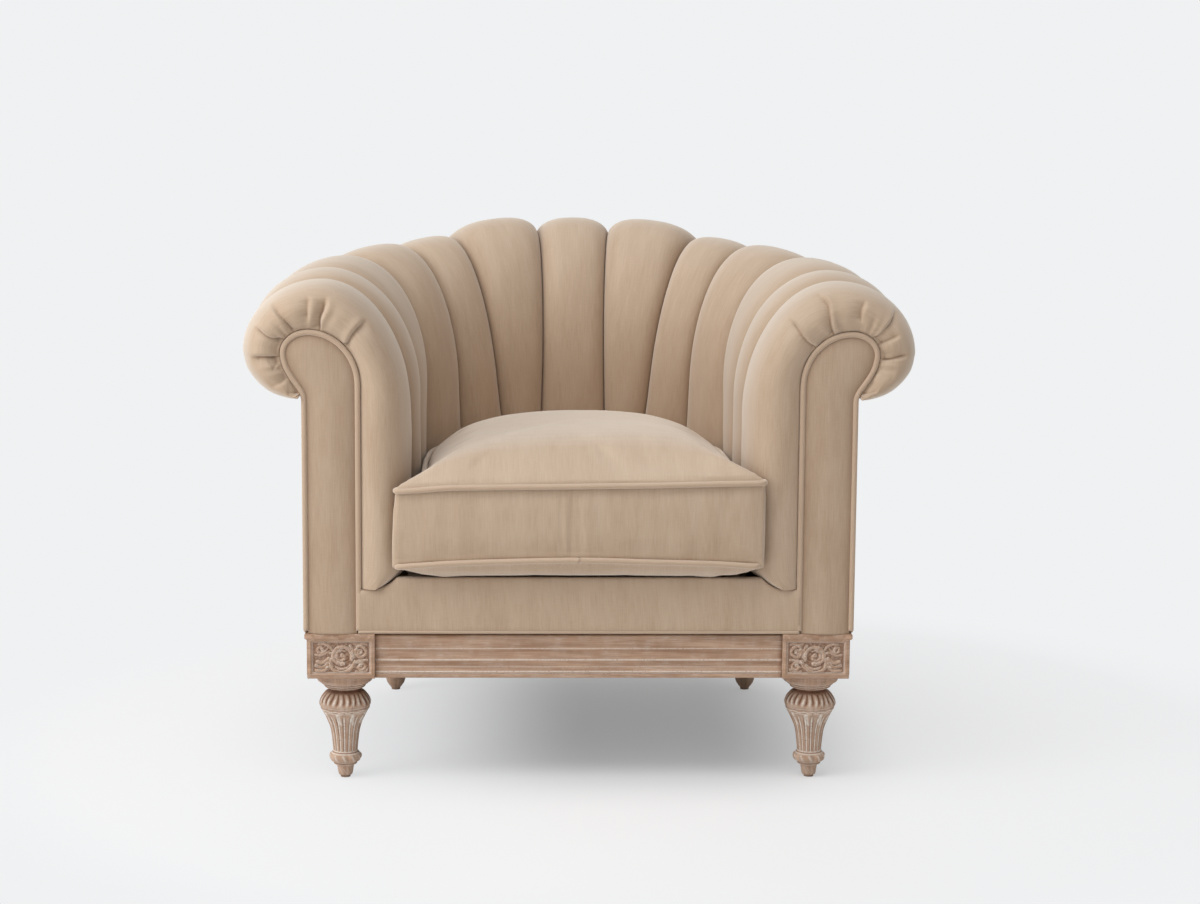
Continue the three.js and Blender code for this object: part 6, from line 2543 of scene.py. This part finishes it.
@dataclass
class BackLeg(Leg):
    """Plain tapered back leg."""

    def build(self) -> None:
        """Make and dress the leg."""
        knots = np.array(BACK_LEG_KNOTS) / 1000
        at, dense = np.linspace(0, 1, len(knots)), np.linspace(0, 1, 90)
        profile = np.column_stack([spline(dense, at, knots[:, 0]), np.interp(dense, at, knots[:, 1])])
        self.stand(lathe(profile, 64), f"back_leg_{self.side.word} tapered")


@dataclass
class HiddenFrame:
    """Carried-over timbers, springs, bolts and glides."""

    finishes: Finishes

    def build(self) -> None:
        """Give each carried-over node its finish."""
        paired = ("seat_rail", "arm_post", "back_post", "arm_top_rail")
        timber = [f"{name}_{side.word}" for side in Side for name in paired]
        timber += ["seat_rail_front", "seat_rail_back", "back_top_rail"]
        timber += [f"back_corner_block_{side.word}" for side in Side]
        legs = [f"{end}_leg_{side.word}" for side in Side for end in ("front", "back")]
        steel = [f"seat_spring_{number}" for number in (1, 2, 3)] + [f"{leg}_bolt" for leg in legs]
        finishes = dict.fromkeys(timber, self.finishes.timber)
        finishes |= dict.fromkeys(steel, self.finishes.steel)
        finishes |= dict.fromkeys([f"{leg}_glide" for leg in legs], self.finishes.glide)
        for name, material in finishes.items():
            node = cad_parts[name]
            node.data.materials.clear()
            node.data.materials.append(material)
            log.info("%s keeps its own shape in %s", name, material.name)


# Studio


@dataclass
class Studio:
    """Camera of the photograph, soft lights, pale floor and backdrop."""

    backdrop: Colour = srgb(240, 241, 242)
    camera_at: tuple[float, float, float] = (-0.0977, -4.50667, 1.1336)
    yaw: float = 1.7996
    pitch: float = 8.1708
    roll: float = 0.4207
    lens: float = 78.04
    sensor: float = 36.0
    world_strength: float = 0.34
    floor_half: float = 30.0
    plain_floor: float = 0.3

    def camera(self) -> None:
        """Place the camera."""
        yaw, pitch, roll = (math.radians(x) for x in (self.yaw, self.pitch, self.roll))
        ahead = Vector((math.sin(yaw) * math.cos(pitch), math.cos(yaw) * math.cos(pitch), -math.sin(pitch)))
        level = Vector((math.cos(yaw), -math.sin(yaw), 0.0))
        upright = level.cross(ahead)
        right = level * math.cos(roll) + upright * math.sin(roll)
        up = -level * math.sin(roll) + upright * math.cos(roll)
        data = bpy.data.cameras.new("Camera")
        data.lens, data.sensor_width, data.sensor_fit, data.clip_end = self.lens, self.sensor, "HORIZONTAL", 60.0
        made = bpy.data.objects.new("Camera", data)
        bpy.context.scene.collection.objects.link(made)
        matrix = Matrix((right, up, -ahead)).transposed().to_4x4()
        matrix.translation = Vector(self.camera_at)
        made.matrix_world = matrix
        bpy.context.scene.camera = made

    def lights(self) -> None:
        """Add two wide, even lights and a soft panel beside the camera."""
        for name, kind, place, target, settings in LIGHTS:
            light = bpy.data.lights.new(name, kind)
            for key, value in settings.items():
                setattr(light, key, value)
            made = bpy.data.objects.new(name, light)
            made.location = place
            made.rotation_euler = (Vector(target) - Vector(place)).to_track_quat("-Z", "Y").to_euler()
            bpy.context.scene.collection.objects.link(made)

    def world(self) -> None:
        """Set the world light, with the plain backdrop where it is seen."""
        world = bpy.data.worlds.new("Studio")
        bpy.context.scene.world = world
        world.use_nodes = True
        nodes = Nodes(world.node_tree)
        light = nodes.add("Background", {"Color": (1.0, 1.0, 1.0, 1.0), "Strength": self.world_strength})
        seen = nodes.add("Background", {"Color": self.backdrop, "Strength": 1.0})
        path = nodes.add("LightPath").outputs
        mask = nodes.math("MAXIMUM", path["Is Camera Ray"], path["Is Glossy Ray"])
        mask = nodes.math("MAXIMUM", mask, path["Is Transmission Ray"])
        mix = nodes.add("MixShader", {0: mask, 1: light.outputs[0], 2: seen.outputs[0]})
        nodes.add("OutputWorld", {"Surface": mix.outputs[0]})

    def floor(self) -> None:
        """Lay a pale floor that keeps the chair's shadow under it, with painted light that pales the shadow to the
        chair's sides, and has the backdrop's colour far from it.
        """
        size = self.floor_half
        corners = np.array([[-size, -size, 0], [size, -size, 0], [size, size, 0], [-size, size, 0]], dtype=float)
        material = bpy.data.materials.new("Floor")
        material.use_nodes = True
        nodes = Nodes(material.node_tree)
        matt = nodes.add("BsdfDiffuse", {"Color": (0.86, 0.86, 0.865, 1.0)})
        seen = nodes.add("Emission", {"Color": self.backdrop})
        position = nodes.add("NewGeometry").outputs["Position"]
        gap = nodes.vector("SUBTRACT", position, (0.13, -0.1, 0.0)).outputs[0]
        sideways = nodes.add("SeparateXYZ", {0: gap}).outputs[0]
        # Painted light: a share of backdrop glow near the chair, larger to its sides, pales the chair's shadow
        aside = nodes.step(nodes.math("ABSOLUTE", sideways), 0.1, 0.46, 0.44)
        afar = nodes.step(nodes.vector("LENGTH", gap).outputs["Value"], 0.5, 1.25)
        share = nodes.math("MAXIMUM", nodes.plus(aside, self.plain_floor), afar, clamp=True)
        mask = nodes.times(nodes.add("LightPath").outputs["Is Camera Ray"], share)
        mix = nodes.add("MixShader", {0: mask, 1: matt.outputs[0], 2: seen.outputs[0]})
        nodes.add("OutputMaterial", {"Surface": mix.outputs[0]})
        Draft(corners, [(0, 1, 2, 3)]).build("floor", material)

    def build(self) -> None:
        """Set up camera, lights, floor and view."""
        self.camera()
        self.world()
        self.lights()
        self.floor()
        bpy.context.scene.view_settings.view_transform = "Standard"


MIDDLE = (0.0, 0.0, 0.0)
LIGHTS = (
    ("Top light", "SUN", (-0.22, -0.22, 0.95), MIDDLE, {"angle": math.radians(50.0), "energy": 0.52 * math.pi}),
    ("Front light", "SUN", (-0.30, -0.85, 0.42), MIDDLE, {"angle": math.radians(60.0), "energy": 0.07 * math.pi}),
    ("Side light", "AREA", (-2.5, -1.5, 1.75), (0.0, 0.0, 0.45), {"size": 1.8, "energy": 37.0}),
)


def main() -> None:
    """Build every piece of the chair and its studio, in order."""
    logging.basicConfig(level=logging.INFO, format="%(message)s")
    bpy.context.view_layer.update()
    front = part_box("arm_facing_right")[0][1]
    plan = TubPlan(front=front)
    Studio().build()
    finishes = Finishes()
    padding = ChannelPadding(plan, finishes)
    padding.build()
    ArmFacing(plan, finishes).build()
    OuterCovers(plan, finishes).build()
    FrontBorder(plan, finishes).build()
    SeatCushion(plan, finishes, padding).build()
    SeatDeck(plan, finishes).build()
    CornerBlock(plan, finishes).build()
    BaseRails(plan, finishes).build()
    for side in Side:
        FrontLeg(finishes, side, 0.380, front + 0.052).build()
        BackLeg(finishes, side, 0.327, front + 0.668).build()
    HiddenFrame(finishes).build()


if __name__ == "__main__":
    main()
